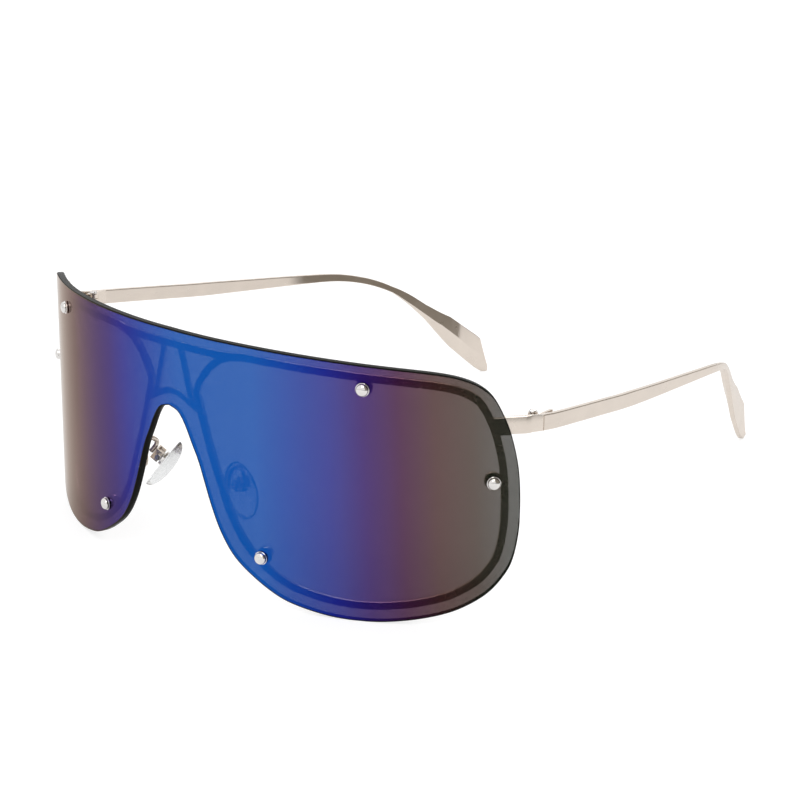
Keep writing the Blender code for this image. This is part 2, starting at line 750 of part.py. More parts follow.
def pad_matrix():
    """Left pad's own axes: X into the nose, Y along its screw, Z up the pad, at the screw."""
    inward = Vector((-math.cos(PAD_SPLAY) * math.cos(PAD_FLARE),
                     math.sin(PAD_SPLAY) * math.cos(PAD_FLARE), -math.sin(PAD_FLARE)))
    up = (ALONG_Z - ALONG_Z.dot(inward) * inward).normalized()
    across = up.cross(inward)
    turn = Matrix((inward, across, up)).transposed().to_4x4()
    place = Vector((PAD_SCREW_SPREAD, PAD_SCREW_BACK, PAD_SCREW_Z))
    return Matrix.Translation(place) @ turn


def oval(width, length, thickness, centre):
    """Soft oval body from a sphere."""
    form = bmesh.new()
    bmesh.ops.create_uvsphere(form, u_segments=24, v_segments=12, radius=0.5)
    bmesh.ops.transform(form, verts=form.verts, matrix=Matrix.Translation(centre)
                        @ Matrix.Diagonal((thickness, width, length, 1)))
    mesh = bpy.data.meshes.new("oval")
    form.to_mesh(mesh)
    form.free()
    return mesh


def insert_face():
    """Distance from the pad's screw to the face of the insert that the silicone sits on."""
    return BOSS_DEPTH / 2 + INSERT_THICKNESS


def pad_mesh():
    """Silicone pad: an oval with a flat back that lies on its insert."""
    flat = insert_face() + FIT_GAP
    body = oval(PAD_WIDTH, PAD_LENGTH, 2 * PAD_THICKNESS, (flat, 0, -PAD_DROP))
    trim = box((PAD_THICKNESS + OVERRUN, PAD_WIDTH + OVERRUN, PAD_LENGTH + OVERRUN),
               (flat - (PAD_THICKNESS + OVERRUN) / 2, 0, -PAD_DROP))
    return combine(body, trim, "DIFFERENCE")


def insert_mesh():
    """Stiff plate on the back of the pad, with the boss that the screw passes through."""
    plate = cylinder(0.5, BOSS_DEPTH / 2, insert_face(), ALONG_X, sides=2 * ROUND_SIDES)
    plate.transform(Matrix.Diagonal((1, INSERT_WIDTH, INSERT_LENGTH, 1)))
    boss = box((BOSS_DEPTH + INSERT_THICKNESS, BOSS_WIDTH, BOSS_HEIGHT),
               (INSERT_THICKNESS / 2, 0, 0))
    bore = cylinder(PAD_SCREW_RADIUS + FIT_GAP, -BOSS_WIDTH, BOSS_WIDTH, ALONG_Y)
    return combine(joined([plate, boss]), bore, "DIFFERENCE")


def pad_box_size():
    """Width over the box's two ears, and how far its back lies from the screw."""
    return BOSS_WIDTH + 2 * FIT_GAP + 2 * BOX_WALL, BOSS_DEPTH / 2 + 2 * FIT_GAP + BOX_WALL


def pad_box_mesh():
    """Open box that holds the insert's boss between two ears."""
    wide, back = pad_box_size()
    shell = box((BOX_DEPTH, wide, BOX_HEIGHT), (BOX_DEPTH / 2 - back, 0, 0))
    room = box((BOX_DEPTH, wide - 2 * BOX_WALL, BOX_HEIGHT + OVERRUN),
               (BOX_DEPTH / 2 - back + BOX_WALL, 0, 0))
    bore = cylinder(PAD_SCREW_RADIUS + FIT_GAP, -wide, wide, ALONG_Y)
    return combine(combine(shell, room, "DIFFERENCE"), bore, "DIFFERENCE")


def pad_screw_mesh():
    """Small screw through the box and the boss."""
    wide, _ = pad_box_size()
    seat = wide / 2 + FIT_GAP
    top = seat + PAD_SCREW_HEAD_HEIGHT
    profile = [(0, top), (PAD_SCREW_HEAD_RADIUS, top), (PAD_SCREW_HEAD_RADIUS, seat),
               (PAD_SCREW_RADIUS, seat), (PAD_SCREW_RADIUS, -wide / 2), (0, -wide / 2)]
    screw = turned(profile, 12)
    screw.transform(Matrix.Rotation(-math.pi / 2, 4, "X"))
    return screw


def pad_arm_points():
    """Path of the left pad arm: back from the rim, up, over and down behind the pad box."""
    rim = rim_line()
    foot_z = PAD_SCREW_Z - ARM_FOOT_DROP
    nose_side = rim[rim[:, 0] < HALF_ARC / 2]
    foot_s = nose_side[np.argmin(np.abs(nose_side[:, 1] - foot_z)), 0]
    foot = wrap(foot_s, FRAME_BACK + FIT_GAP, foot_z)
    lift = wrap(foot_s, FRAME_BACK + 2 * ARM_RADIUS, foot_z)
    _, back = pad_box_size()
    matrix = pad_matrix()
    seat = matrix @ Vector((-back - FIT_GAP - ARM_RADIUS, 0, -BOX_HEIGHT / 4))
    over = matrix @ Vector((-back - FIT_GAP - ARM_RADIUS, 0, BOX_HEIGHT / 2))
    crest = Vector(((foot.x + over.x) / 2, foot.y + ARM_SET_BACK, foot.z + ARM_RISE))
    knee = Vector((foot.x, lift.y + ARM_KNEE_BACK_SHARE * (crest.y - lift.y),
                   foot.z + ARM_KNEE_RISE_SHARE * ARM_RISE))
    fall = Vector((over.x, over.y, (crest.z + over.z) / 2))
    points = [foot, lift, knee, crest, fall, over, seat]
    return [Vector(point) for point in smooth(points, 4)]


def build_front(collection, parent):
    """Lens, frame, fasteners and everything else that stays with the front."""
    publish(collection, parent, "lens_shield", lens_mesh(), "lens")
    publish(collection, parent, "front_frame", frame_mesh(), "frame")
    at_screws(collection, parent, "lens_screw", lens_screw_mesh(), "screw")
    at_screws(collection, parent, "lens_washer", washer_mesh(), "screw")
    at_screws(collection, parent, "lens_nut", nut_mesh(), "screw")


def both_sides(collection, parents, name, mesh, finish, origin):
    """A left piece and its mirror, each placed from its own origin."""
    origin = Vector(origin)
    other = Vector((-origin.x, origin.y, origin.z))
    right = mirrored(mesh)
    publish(collection, parents[0], name + "_left", mesh, finish, origin)
    publish(collection, parents[1], name + "_right", right, finish, other)


def build_sides(collection, parent):
    """Endpieces, hinges and temples, with each temple's origin on its hinge axis."""
    place = hinge_place()
    at_hinge = Matrix.Translation(place)
    axes = []
    for side, name in ((1, "hinge_axis_left"), (-1, "hinge_axis_right")):
        spot = (side * place.x, place.y, place.z)
        axes.append(empty_at(collection, name, spot, parent))
    still = (parent, parent)
    both_sides(collection, still, "endpiece", loft(endpiece_rings()), "frame", place)
    front = moved(hinge_leaf(-1, FRONT_LEAF_LENGTH, (0, 2)), at_hinge)
    both_sides(collection, still, "hinge_front_leaf", front, "hinge", place)
    both_sides(collection, still, "hinge_screw", moved(hinge_screw_mesh(), at_hinge),
               "screw", place)
    rear = moved(hinge_leaf(1, TEMPLE_LEAF_LENGTH, (1,)), at_hinge)
    both_sides(collection, axes, "hinge_temple_leaf", rear, "hinge", place)
    both_sides(collection, axes, "temple", loft(temple_rings()), "temple", place)


def build_nose(collection, parent):
    """Pad arms and boxes on the front, and pads that rock on their screws."""
    matrix = pad_matrix()
    place = matrix.translation
    axes = []
    for side, name in ((1, "pad_axis_left"), (-1, "pad_axis_right")):
        spot = (side * place.x, place.y, place.z)
        axes.append(empty_at(collection, name, spot, parent))
    still = (parent, parent)
    both_sides(collection, still, "pad_arm", wire(pad_arm_points(), ARM_RADIUS), "frame", place)
    both_sides(collection, still, "pad_box", moved(pad_box_mesh(), matrix), "hinge", place)
    both_sides(collection, still, "pad_screw", moved(pad_screw_mesh(), matrix), "screw", place)
    both_sides(collection, axes, "pad_insert", moved(insert_mesh(), matrix), "insert", place)
    both_sides(collection, axes, "nose_pad", moved(pad_mesh(), matrix), "pad", place)


def main():
    """Build the whole object about the middle of the space it covers."""
    clear_scene()
    collection = bpy.data.collections.new("shield_sunglasses")
    bpy.context.scene.collection.children.link(collection)
    middle = empty_at(collection, "standing_point", (0, 0, 0))
    build_front(collection, middle)
    build_sides(collection, middle)
    build_nose(collection, middle)
    bpy.context.view_layer.update()
    depths = [(thing.matrix_world @ vert.co).y for thing in collection.objects
              if thing.type == "MESH" for vert in thing.data.vertices]
    middle.location = (0, -(min(depths) + max(depths)) / 2, 0)


main()
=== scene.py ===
"""Shield sunglasses: the looks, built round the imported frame.

The script is laid out as a Blender add-on: sizes and colours are properties, each piece or
group of like pieces has an operator, and a panel in the 3D view's sidebar lists them.

Lengths are in metres. The lens faces -Y, the wearer's left is +X and +Z is up. The front is
drawn flat first, with s along the lens, d behind its front and z up, and is then bent round
the lens curve: x = (R - d) sin(s / R) and y = front + R - (R - d) cos(s / R).
"""

import json
import math

import bmesh
import bpy
import numpy as np
from bpy.props import FloatProperty, FloatVectorProperty, PointerProperty
from mathutils import Matrix, Vector


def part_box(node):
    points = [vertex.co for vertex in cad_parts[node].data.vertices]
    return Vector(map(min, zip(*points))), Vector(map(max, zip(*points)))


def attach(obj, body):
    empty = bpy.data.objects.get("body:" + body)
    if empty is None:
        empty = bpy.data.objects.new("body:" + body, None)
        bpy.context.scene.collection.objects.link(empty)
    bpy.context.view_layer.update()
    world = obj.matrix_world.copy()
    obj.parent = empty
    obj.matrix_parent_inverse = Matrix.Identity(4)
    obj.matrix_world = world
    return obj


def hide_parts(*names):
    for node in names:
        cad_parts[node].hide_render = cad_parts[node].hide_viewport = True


bl_info = {
    "name": "Shield Sunglasses",
    "version": (1, 0, 0),
    "blender": (4, 5, 0),
    "location": "View3D > Sidebar > Sunglasses",
    "description": "Builds shield sunglasses with a mirror lens round a fixed frame",
    "category": "Add Mesh",
}

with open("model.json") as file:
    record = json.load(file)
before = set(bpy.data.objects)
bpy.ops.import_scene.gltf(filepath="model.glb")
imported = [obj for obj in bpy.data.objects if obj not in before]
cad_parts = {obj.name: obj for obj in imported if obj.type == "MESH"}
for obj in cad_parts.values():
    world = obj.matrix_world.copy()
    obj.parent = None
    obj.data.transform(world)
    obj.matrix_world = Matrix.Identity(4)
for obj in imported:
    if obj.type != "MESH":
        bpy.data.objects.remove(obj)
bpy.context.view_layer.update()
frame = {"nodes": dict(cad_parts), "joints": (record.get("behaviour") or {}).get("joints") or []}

LENS_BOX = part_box("lens_shield")
FRONT_Y = LENS_BOX[0].y
SIDES = (("left", 1.0), ("right", -1.0))

# Lens outline, right half from the top middle to the bottom middle: share of half the arc
# and of the height
LENS_OUTLINE_SHARES = (
    (0.0, 1.0), (0.245, 0.995), (0.416, 0.987), (0.587, 0.975), (0.734, 0.962),
    (0.807, 0.950), (0.855, 0.933), (0.893, 0.908), (0.924, 0.870), (0.952, 0.804),
    (0.974, 0.724), (0.993, 0.608), (1.0, 0.480), (0.998, 0.361), (0.983, 0.252),
    (0.956, 0.183), (0.917, 0.124), (0.862, 0.076), (0.807, 0.045), (0.733, 0.020),
    (0.659, 0.005), (0.605, 0.0), (0.556, 0.0), (0.491, 0.007), (0.412, 0.027),
    (0.355, 0.052), (0.287, 0.104), (0.222, 0.172), (0.178, 0.256), (0.147, 0.350),
    (0.122, 0.447), (0.103, 0.520), (0.082, 0.578), (0.059, 0.643), (0.034, 0.689),
    (0.0, 0.705),
)
RIM_FIRST_POINT = 1
RIM_LAST_POINT = 26
RIM_NOSE_SHARES = (
    (0.247, 0.222), (0.202, 0.315), (0.173, 0.411), (0.135, 0.550), (0.107, 0.672),
    (0.095, 0.728), (0.088, 0.767), (0.094, 0.803), (0.110, 0.839), (0.128, 0.871),
    (0.152, 0.902), (0.182, 0.926),
)
TOP_BAR_SHARES = ((0.23, 0.938), (0.10, 0.937), (0.0, 0.939))
NOSE_ARCH_SHARES = ((0.106, 0.695), (0.079, 0.715), (0.027, 0.749), (0.0, 0.755))
STRUT_SHARES = ((0.030, 0.932), (0.064, 0.755), (0.083, 0.712))
SCREW_PLACE_SHARES = {"top": (0.587, 0.888), "side": (0.929, 0.552), "low": (0.304, 0.194)}

# Temple centre line: shares of the reach, of the set-in and of the fall to the tip
TEMPLE_LINE_SHARES = (
    (0.0, 0.0, 1.0), (0.037, 0.0, 0.984), (0.111, 0.030, 0.953), (0.188, 0.066, 0.920),
    (0.265, 0.103, 0.887), (0.380, 0.166, 0.846), (0.496, 0.238, 0.807),
    (0.573, 0.288, 0.780), (0.611, 0.316, 0.766), (0.650, 0.353, 0.747),
    (0.688, 0.409, 0.719), (0.726, 0.485, 0.679), (0.765, 0.571, 0.618),
    (0.803, 0.655, 0.531), (0.842, 0.734, 0.417), (0.880, 0.806, 0.297),
    (0.919, 0.874, 0.184), (0.957, 0.937, 0.075), (1.0, 1.0, -0.040),
)
BLADE_STATION_SHARES = (0.0, 0.30, 0.60, 0.70, 0.77, 0.845, 0.905, 0.97, 1.0)
RIDGE_STATION_SHARES = (0.50, 0.575, 0.80, 0.88, 0.92, 0.935, 1.0)
RIDGE_PROUD_SHARES = (0.0, 0.60, 0.72, 1.0, 1.25, 0.45, 0.10)
RIDGE_HEIGHT_SHARES = (0.12, 0.50)
CROWN_STATION_SHARES = (0.55, 0.92)

# Colour stops along the lens, as shares of the reach from the middle of the blue
COAT_STOP_SHARES = (0.0, 0.14, 0.26, 0.385, 0.50, 0.615, 0.72, 0.85)
BODY_STOP_SHARES = (0.0, 0.26, 0.385, 0.486, 0.60, 0.714, 0.83, 0.94)

# Nose pad from the middle of its back to its rim: shares of its half width and thickness
PAD_BACK_SHARES = ((0.0, 0.05), (0.35, 0.045), (0.65, 0.02), (0.88, 0.0), (0.965, 0.0),
                   (0.99, 0.03))

# Direction of the studio's dark side, behind the glasses on the camera's right, the cosines
# between which it sets in, and the middle of the pool of light painted on the floor
DARK_DIRECTION = (0.75, 0.50, 0.30)
DARK_COSINES = (0.35, 0.72)
PAINTED_POOL_CENTRE = (-0.48, -0.32, 0.0)

WHITE = (1.0, 1.0, 1.0, 1.0)

# Light panels: name, place and side
PANELS = (("panel_front", (0.5, -0.7, 1.1), 0.7), ("panel_back", (-0.6, 0.6, 1.0), 0.6))

# Metals: colour, and values for the polished_metal group
METALS = {
    "polished_frame": ("metal", {"Roughness": 0.26}),
    "brushed_temple": ("metal", {"Roughness": 0.30, "Hairlines": 0.5, "Scale": 1400.0}),
    "tumbled_hinge": ("metal", {"Roughness": 0.20, "Hairlines": 0.3,
                                "Stretch": (1.0, 1.0, 1.0)}),
    "bright_screw": ("steel", {"Roughness": 0.12, "Hairlines": 0.1,
                               "Stretch": (1.0, 1.0, 1.0)}),
    "pad_core_steel": ("steel", {"Roughness": 0.26, "Hairlines": 0.3,
                                 "Stretch": (1.0, 1.0, 0.2)}),
}

# Outputs of the node groups and the shader sockets that they feed
FEEDS = (("Colour", "Base Color"), ("Roughness", "Roughness"), ("Haze", "Roughness"),
         ("Normal", "Normal"))

# Angles in degrees past which shading breaks: on most pieces, on small hinge parts and on
# the temples' folds
SHARP = 40.0
SMALL_SHARP = 30.0
FOLD_SHARP = 8.0

# Fineness of the meshes
LENS_COLUMNS = 321
LENS_ROWS = 97
CURVE_STEPS = 8
COARSE_STEPS = 2
OUTLINE_STEPS = 128
OUTLINE_STRETCHES = 40
DOME_STEPS = 14
STRIP_STEPS = 12
BEND_STEPS = 16
RUN_STEPS = 6
CUT_STEPS = 9
PAD_STEPS = 28
ROUND_SIDES = 48
LUG_SIDES = 40
HOLE_SIDES = 32
NUT_SIDES = 72
WIRE_SIDES = 20
PAD_SIDES = 96
WELD = 0.000001


def length(name, description, default):
    """A length property in metres."""
    return FloatProperty(name=name, description=description, default=default, unit="LENGTH",
                         precision=5)


def angle(name, description, degrees):
    """An angle property, given in degrees."""
    return FloatProperty(name=name, description=description, default=math.radians(degrees),
                         subtype="ANGLE", unit="ROTATION")


def amount(name, description, default):
    """A plain number property."""
    return FloatProperty(name=name, description=description, default=default, precision=4)


def tint(name, description, default):
    """A colour property."""
    return FloatVectorProperty(name=name, description=description, default=default, size=3,
                               subtype="COLOR", min=0.0, max=1.0)


class LensSizes(bpy.types.PropertyGroup):
    """Sizes of the lens and its coat."""
    radius: length("Curve radius", "Radius of the lens front", 0.096)
    arc: length("Arc", "Length of the lens along its curve", 0.1636)
    height: length("Height", "Height of the lens", LENS_BOX[1].z - LENS_BOX[0].z)
    thickness: length("Thickness", "Thickness of the lens with its coat", 0.0019)
    coat: length("Coat", "Thickness of the mirror coat", 0.00003)
    coat_gap: length("Coat gap", "Gap between coat and lens", 0.00001)
    border: length("Border", "Width of the dark line round the coat", 0.00024)
    edge: length("Edge chamfer", "Chamfer of the lens edge", 0.00030)
    hole_block: length("Hole block", "Half side of the cells cut for a hole", 0.0011)


class FrameSizes(bpy.types.PropertyGroup):
    """Sizes of the metal frame behind the lens."""
    gap: length("Gap", "Gap between lens and frame", 0.0002)
    inset: length("Rim inset", "Rim's centre line inside the lens edge", 0.0031)
    rim_width: length("Rim width", "Width of the rims and the top bar", 0.0017)
    rim_depth: length("Rim depth", "Thickness of the rims", 0.0010)
    bar_depth: length("Bar depth", "Thickness of the top bar", 0.00095)
    lace_width: length("Lace width", "Width of the bridge's bands", 0.0014)
    arch_depth: length("Arch depth", "Thickness of the nose arch", 0.00085)
    strut_depth: length("Strut depth", "Thickness of the two struts", 0.00075)
    lug_radius: length("Lug radius", "Radius of the lugs at the screws", 0.0019)
    lug_depth: length("Lug depth", "Thickness of the lugs", 0.0009)
    web_depth: length("Web depth", "Thickness of the webs to the lugs", 0.0008)
    round_edge: length("Rounding", "Rounding of the bands' edges", 0.00008)


class FastenerSizes(bpy.types.PropertyGroup):
    """Sizes of the screws, washers and nuts of the lens."""
    head_radius: length("Head radius", "Radius of a screw's head", 0.00136)
    head_height: length("Head height", "Height of a screw's dome", 0.00085)
    shank_radius: length("Shank radius", "Radius of a screw's shank", 0.0006)
    end: length("End", "Shank that stands out of the nut", 0.0002)
    washer_radius: length("Washer radius", "Outer radius of a washer", 0.00152)
    washer_thickness: length("Washer thickness", "Thickness of a washer", 0.0003)
    nut_radius: length("Nut radius", "Radius over a nut's corners", 0.0015)
    nut_thickness: length("Nut thickness", "Thickness of a nut", 0.0011)
    clearance: length("Clearance", "Gap between touching pieces", 0.00015)
    soft_edge: length("Soft edge", "Bevel of small metal edges", 0.00005)


class SideSizes(bpy.types.PropertyGroup):
    """Sizes of the endpieces and temples."""
    end_z: length("Endpiece height", "Height of the endpiece's middle", 0.0448)
    end_height: length("Endpiece width", "Width of the endpiece strip", 0.0038)
    end_thickness: length("Endpiece thickness", "Thickness of the strip", 0.0011)
    overhang: length("Overhang", "How far the strip runs past the lens end", 0.0034)
    bend: length("Bend radius", "Radius of the strip's bend", 0.0022)
    run: length("Run", "Straight run behind the bend", 0.0038)
    butt_gap: length("Butt gap", "Gap in which the hinge's axis lies", 0.0003)
    reveal: length("Reveal", "Gap seen between endpiece and temple", 0.00004)
    reach: length("Reach", "Depth of the temple from hinge to tip", 0.1297)
    set_in: length("Set in", "How far the tip lies inward", 0.0275)
    line_z: length("Line height", "Height of the temple's front end", 0.0440)
    blade: length("Blade thickness", "Thickness of the temple", 0.0013)
    chamfer: length("Chamfer", "Chamfer of the temple's edges", 0.00014)
    crown: length("Crown", "Crown of the outer face", 0.0003)
    ridge: length("Ridge", "How proud the inner ridge stands", 0.0010)
    front_height: length("Front height", "Temple height at the hinge", 0.0036)
    blade_height: length("Blade height", "Temple height along the blade", 0.0035)
    shank_height: length("Shank height", "Temple height before the bend", 0.0022)
    waist_height: length("Waist height", "Least temple height", 0.0018)
    heel_height: length("Heel height", "Temple height past the bend", 0.0045)
    paddle_height: length("Paddle height", "Temple height on the paddle", 0.0091)
    tip_height: length("Tip height", "Greatest temple height", 0.0101)
    tip_back: length("Tip back height", "Temple height at the very end", 0.0092)
    slant: length("Tip slant", "Length over which the tip is cut", 0.0026)
    tip_end: length("Tip end", "Height of the cut tip's end", 0.0018)
    tip_rise: length("Tip rise", "Rise of the cut tip's end", 0.0012)
    round_edge: length("Rounding", "Rounding of the blade's edges", 0.00008)


class PadSizes(bpy.types.PropertyGroup):
    """Sizes of the nose pads and their arms."""
    width: length("Width", "Width of a pad", 0.0074)
    tall: length("Length", "Length of a pad", 0.0134)
    thickness: length("Thickness", "Thickness of a pad", 0.0026)
    drop: length("Drop", "Pad's middle below its screw", 0.0010)
    splay: angle("Splay", "Turn of a pad towards the back", 26.0)
    flare: angle("Flare", "Lean of a pad's top towards the nose", 37.0)
    face: length("Face", "Screw axis to the pad's back", 0.00155)
    box_depth: length("Box back", "Screw axis to the back of the box", 0.0015)
    box_height: length("Box height", "Height of the box", 0.0028)
    arm_radius: length("Arm radius", "Radius of the arm's wire", 0.00055)
    arm_rise: length("Arm rise", "Height of the arm's crest over its foot", 0.0054)
    arm_back: length("Arm set-back", "How far back the arm's crest lies", 0.0026)
    foot_drop: length("Foot drop", "Arm's foot below the pad's screw", 0.0007)
    knee_back: amount("Knee back", "Share of the set-back at the knee", 0.15)
    knee_rise: amount("Knee rise", "Share of the rise at the knee", 0.65)


class Colours(bpy.types.PropertyGroup):
    """Colours of the coat, the lens, the metal and the pads."""
    blue: tint("Blue", "Coat at its brightest", (0.0056, 0.100, 0.455))
    deep_blue: tint("Deep blue", "Coat beside the blue", (0.009, 0.058, 0.385))
    indigo: tint("Indigo", "Coat between blue and violet", (0.012, 0.020, 0.285))
    violet: tint("Violet", "Coat between indigo and plum", (0.021, 0.0075, 0.130))
    plum: tint("Plum", "Coat between violet and bronze", (0.036, 0.006, 0.036))
    bronze: tint("Bronze", "Coat near the ends", (0.030, 0.009, 0.009))
    olive: tint("Olive", "Coat at the ends", (0.012, 0.015, 0.008))
    flare: tint("Flare", "Coat seen along its surface", (1.0, 0.86, 0.76))
    body_1: tint("Body 1", "Lens tint in the blue", (0.52, 0.60, 0.56))
    body_2: tint("Body 2", "Lens tint beside the blue", (0.54, 0.60, 0.60))
    body_3: tint("Body 3", "Lens tint in the indigo", (0.50, 0.50, 0.62))
    body_4: tint("Body 4", "Lens tint in the violet", (0.445, 0.285, 0.54))
    body_5: tint("Body 5", "Lens tint in the plum", (0.41, 0.225, 0.36))
    body_6: tint("Body 6", "Lens tint in the bronze", (0.45, 0.30, 0.295))
    body_7: tint("Body 7", "Lens tint past the bronze", (0.45, 0.345, 0.315))
    body_8: tint("Body 8", "Lens tint at the ends", (0.505, 0.49, 0.475))
    rim_edge: tint("Lens edge", "Edge of the lens", (0.011, 0.011, 0.009))
    metal: tint("Metal", "Pale champagne metal", (0.80, 0.715, 0.635))
    steel: tint("Steel", "Screws and small parts", (0.82, 0.80, 0.78))
    silicone: tint("Silicone", "Clear nose pads", (0.95, 0.96, 0.96))


class StudioSizes(bpy.types.PropertyGroup):
    """Camera, floor and light."""
    camera_x: length("Camera X", "Camera to the wearer's left", 0.327894)
    camera_y: length("Camera Y", "Camera before the lens", -0.311962)
    camera_z: length("Camera Z", "Camera height", 0.194295)
    yaw: angle("Yaw", "Turn of the camera", 39.997)
    pitch: angle("Pitch", "Fall of the camera", 18.518)
    roll: angle("Roll", "Roll of the camera", 0.673)
    focal: amount("Focal length", "Focal length in millimetres", 97.445)
    sensor: amount("Sensor width", "Sensor width in millimetres", 36.0)
    clip: length("Clip start", "Nearest distance that shows", 0.01)
    floor: length("Floor", "Side of the floor", 12.0)
    floor_drop: length("Floor drop", "Floor below the glasses", 0.00005)
    floor_colour: tint("Floor colour", "Diffuse part of the floor", (0.42, 0.42, 0.42))
    floor_glow: amount("Floor glow", "Floor's own light in reflections", 0.48)
    floor_white: amount("Floor white", "Floor's own light to the camera", 0.70)
    # The light pool is painted: past it the floor's colour and its glow in reflections fall off,
    # a painted dark far floor
    pool: length("Light pool", "Radius of the lit part of the floor", 0.82)
    painted_pool_edge: length("Pool edge", "Radius at which the floor is dark", 1.05)
    sky: amount("Sky", "Strength of the diffuse sky", 0.85)
    light_side: amount("Light side", "Brightness of the room in reflections", 0.92)
    dark_side: amount("Dark side", "Brightness of its dark side in reflections", 0.22)
    dark_colour: tint("Dark colour", "Colour of the dark side", (1.0, 0.90, 0.76))
    panel: amount("Panel", "Power of each light panel", 4.0)


class ShieldGlasses(bpy.types.PropertyGroup):
    """Everything that a user may change."""
    lens: PointerProperty(type=LensSizes)
    front: PointerProperty(type=FrameSizes)
    fasteners: PointerProperty(type=FastenerSizes)
    sides: PointerProperty(type=SideSizes)
    pads: PointerProperty(type=PadSizes)
    colours: PointerProperty(type=Colours)
    studio: PointerProperty(type=StudioSizes)


def settings():
    """The scene's sizes and colours."""
    return bpy.context.scene.shield_glasses


def smooth(points, steps, closed=False):
    """Catmull-Rom curve: each stretch is the cubic that leaves a point with half the step
    between its neighbours."""
    points = np.asarray(points, float)
    if closed:
        ring = np.vstack([points[-1:], points, points[:2]])
    else:
        before = 2 * points[:1] - points[1:2]
        after = 2 * points[-1:] - points[-2:-1]
        ring = np.vstack([before, points, after])
    t = (np.arange(steps) / steps)[None, :, None]
    a, b, c, e = ring[:-3, None], ring[1:-2, None], ring[2:-1, None], ring[3:, None]
    cubic = (2 * a - 5 * b + 4 * c - e) * t ** 2 + (3 * b - a - 3 * c + e) * t ** 3
    run = (b + ((c - a) * t + cubic) / 2).reshape(-1, points.shape[1])
    return run if closed else np.vstack([run, points[-1:]])


def unit(vectors):
    """Vectors at length one."""
    return vectors / np.linalg.norm(vectors, axis=-1, keepdims=True)


def sideways(line, closed=False):
    """Direction to the right of a flat line, at each of its points."""
    if closed:
        along = np.roll(line, -1, axis=0) - np.roll(line, 1, axis=0)
    else:
        along = np.gradient(line, axis=0)
    along = unit(along)
    return np.stack([along[:, 1], -along[:, 0]], axis=1)


def offset(points, distance, closed=False):
    """A flat curve moved sideways, to the right of its direction, by a distance."""
    return points + distance * sideways(points, closed)


def round_turns(sides):
    """Even angles once round, from 0."""
    return np.arange(sides) * 2 * math.pi / sides


def flat_points(shares):
    """Shares of half the arc and of the lens height, as flat sizes."""
    lens = settings().lens
    return np.array(shares) * np.array([lens.arc / 2, lens.height])


def wrap(flat):
    """Flat points (s, d, z) bent round the lens curve."""
    radius = settings().lens.radius
    turn = flat[..., 0] / radius
    reach = radius - flat[..., 1]
    return np.stack([reach * np.sin(turn), FRONT_Y + radius - reach * np.cos(turn),
                     flat[..., 2]], axis=-1)


def frame_middle():
    """Depth of the middle of the metal frame behind the lens front."""
    lens, front = settings().lens, settings().front
    return lens.thickness + front.gap + front.rim_depth / 2


def screw_places():
    """Flat places of the six lens screws, by name."""
    places = {}
    for name, share in SCREW_PLACE_SHARES.items():
        s, z = flat_points(share)
        for side, sign in SIDES:
            places[name + "_" + side] = (sign * s, z)
    return places


def rim_line(steps=CURVE_STEPS):
    """Closed centre line of the left rim: inside the lens edge, then up beside the nose."""
    inside = offset(flat_points(LENS_OUTLINE_SHARES), settings().front.inset)
    outer = inside[RIM_FIRST_POINT:RIM_LAST_POINT + 1]
    return smooth(np.vstack([outer, flat_points(RIM_NOSE_SHARES)]), steps, True)


def grid_quads(rows, columns, closed=False):
    """Quads between neighbouring rows and columns of a grid; closed joins the last column
    to the first."""
    across = np.arange(columns if closed else columns - 1)
    i, j = np.meshgrid(np.arange(rows - 1), across, indexing="ij")
    k = (j + 1) % columns
    return np.stack([i * columns + j, i * columns + k, (i + 1) * columns + k,
                     (i + 1) * columns + j], axis=-1).reshape(-1, 4)


def tube(rings):
    """Points and faces of a skin over a run of closed rings, with a cap at each end."""
    rows, columns = rings.shape[:2]
    faces = grid_quads(rows, columns, True).tolist()
    faces.append(list(range(columns)))
    faces.append(list(range((rows - 1) * columns, rows * columns)))
    return rings.reshape(-1, 3), faces


def loop_tube(rings):
    """Points and faces of a skin over a closed run of closed rings."""
    rows, columns = rings.shape[:2]
    quads = grid_quads(rows + 1, columns, True) % (rows * columns)
    return rings.reshape(-1, 3), quads.tolist()


def round_corners(loops, radius):
    """Each corner of closed loops becomes three points: one back along each side, by the
    radius or at most a share of the side, and the middle of the curve between them."""
    most = 0.4
    before, after = np.roll(loops, 1, axis=-2) - loops, np.roll(loops, -1, axis=-2) - loops
    steps = []
    for side in (before, after):
        span = np.maximum(np.linalg.norm(side, axis=-1, keepdims=True), WELD)
        steps.append(loops + side * np.minimum(radius / span, most))
    middle = (steps[0] + 2 * loops + steps[1]) / 4
    out = np.stack([steps[0], middle, steps[1]], axis=-2)
    return out.reshape(*loops.shape[:-2], -1, loops.shape[-1])


def make_mesh(name, points, faces):
    """Closed mesh from points and faces, doubles merged and faces turned outward."""
    mesh = bpy.data.meshes.new(name)
    mesh.from_pydata(np.asarray(points, float).reshape(-1, 3), [], faces)
    form = bmesh.new()
    form.from_mesh(mesh)
    bmesh.ops.remove_doubles(form, verts=form.verts, dist=WELD)
    bmesh.ops.dissolve_degenerate(form, dist=WELD, edges=form.edges)
    bmesh.ops.recalc_face_normals(form, faces=form.faces)
    form.to_mesh(mesh)
    form.free()
    return mesh


def shade(mesh, degrees):
    """Smooth shading with sharp edges past an angle."""
    mesh.shade_smooth()
    mesh.set_sharp_from_angle(angle=math.radians(degrees))


def add_piece(name, mesh, body, material, nodes, sharp=SHARP):
    """Link a finished mesh, let it ride on its body and stand for its CAD nodes."""
    piece = bpy.data.objects.new(name, mesh)
    bpy.context.scene.collection.objects.link(piece)
    if not mesh.materials:
        mesh.materials.append(material)
    shade(mesh, sharp)
    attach(piece, body)
    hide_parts(*nodes)
    return piece


def evaluated(thing):
    """Mesh of an object as its modifiers leave it."""
    graph = bpy.context.evaluated_depsgraph_get()
    return bpy.data.meshes.new_from_object(thing.evaluated_get(graph))


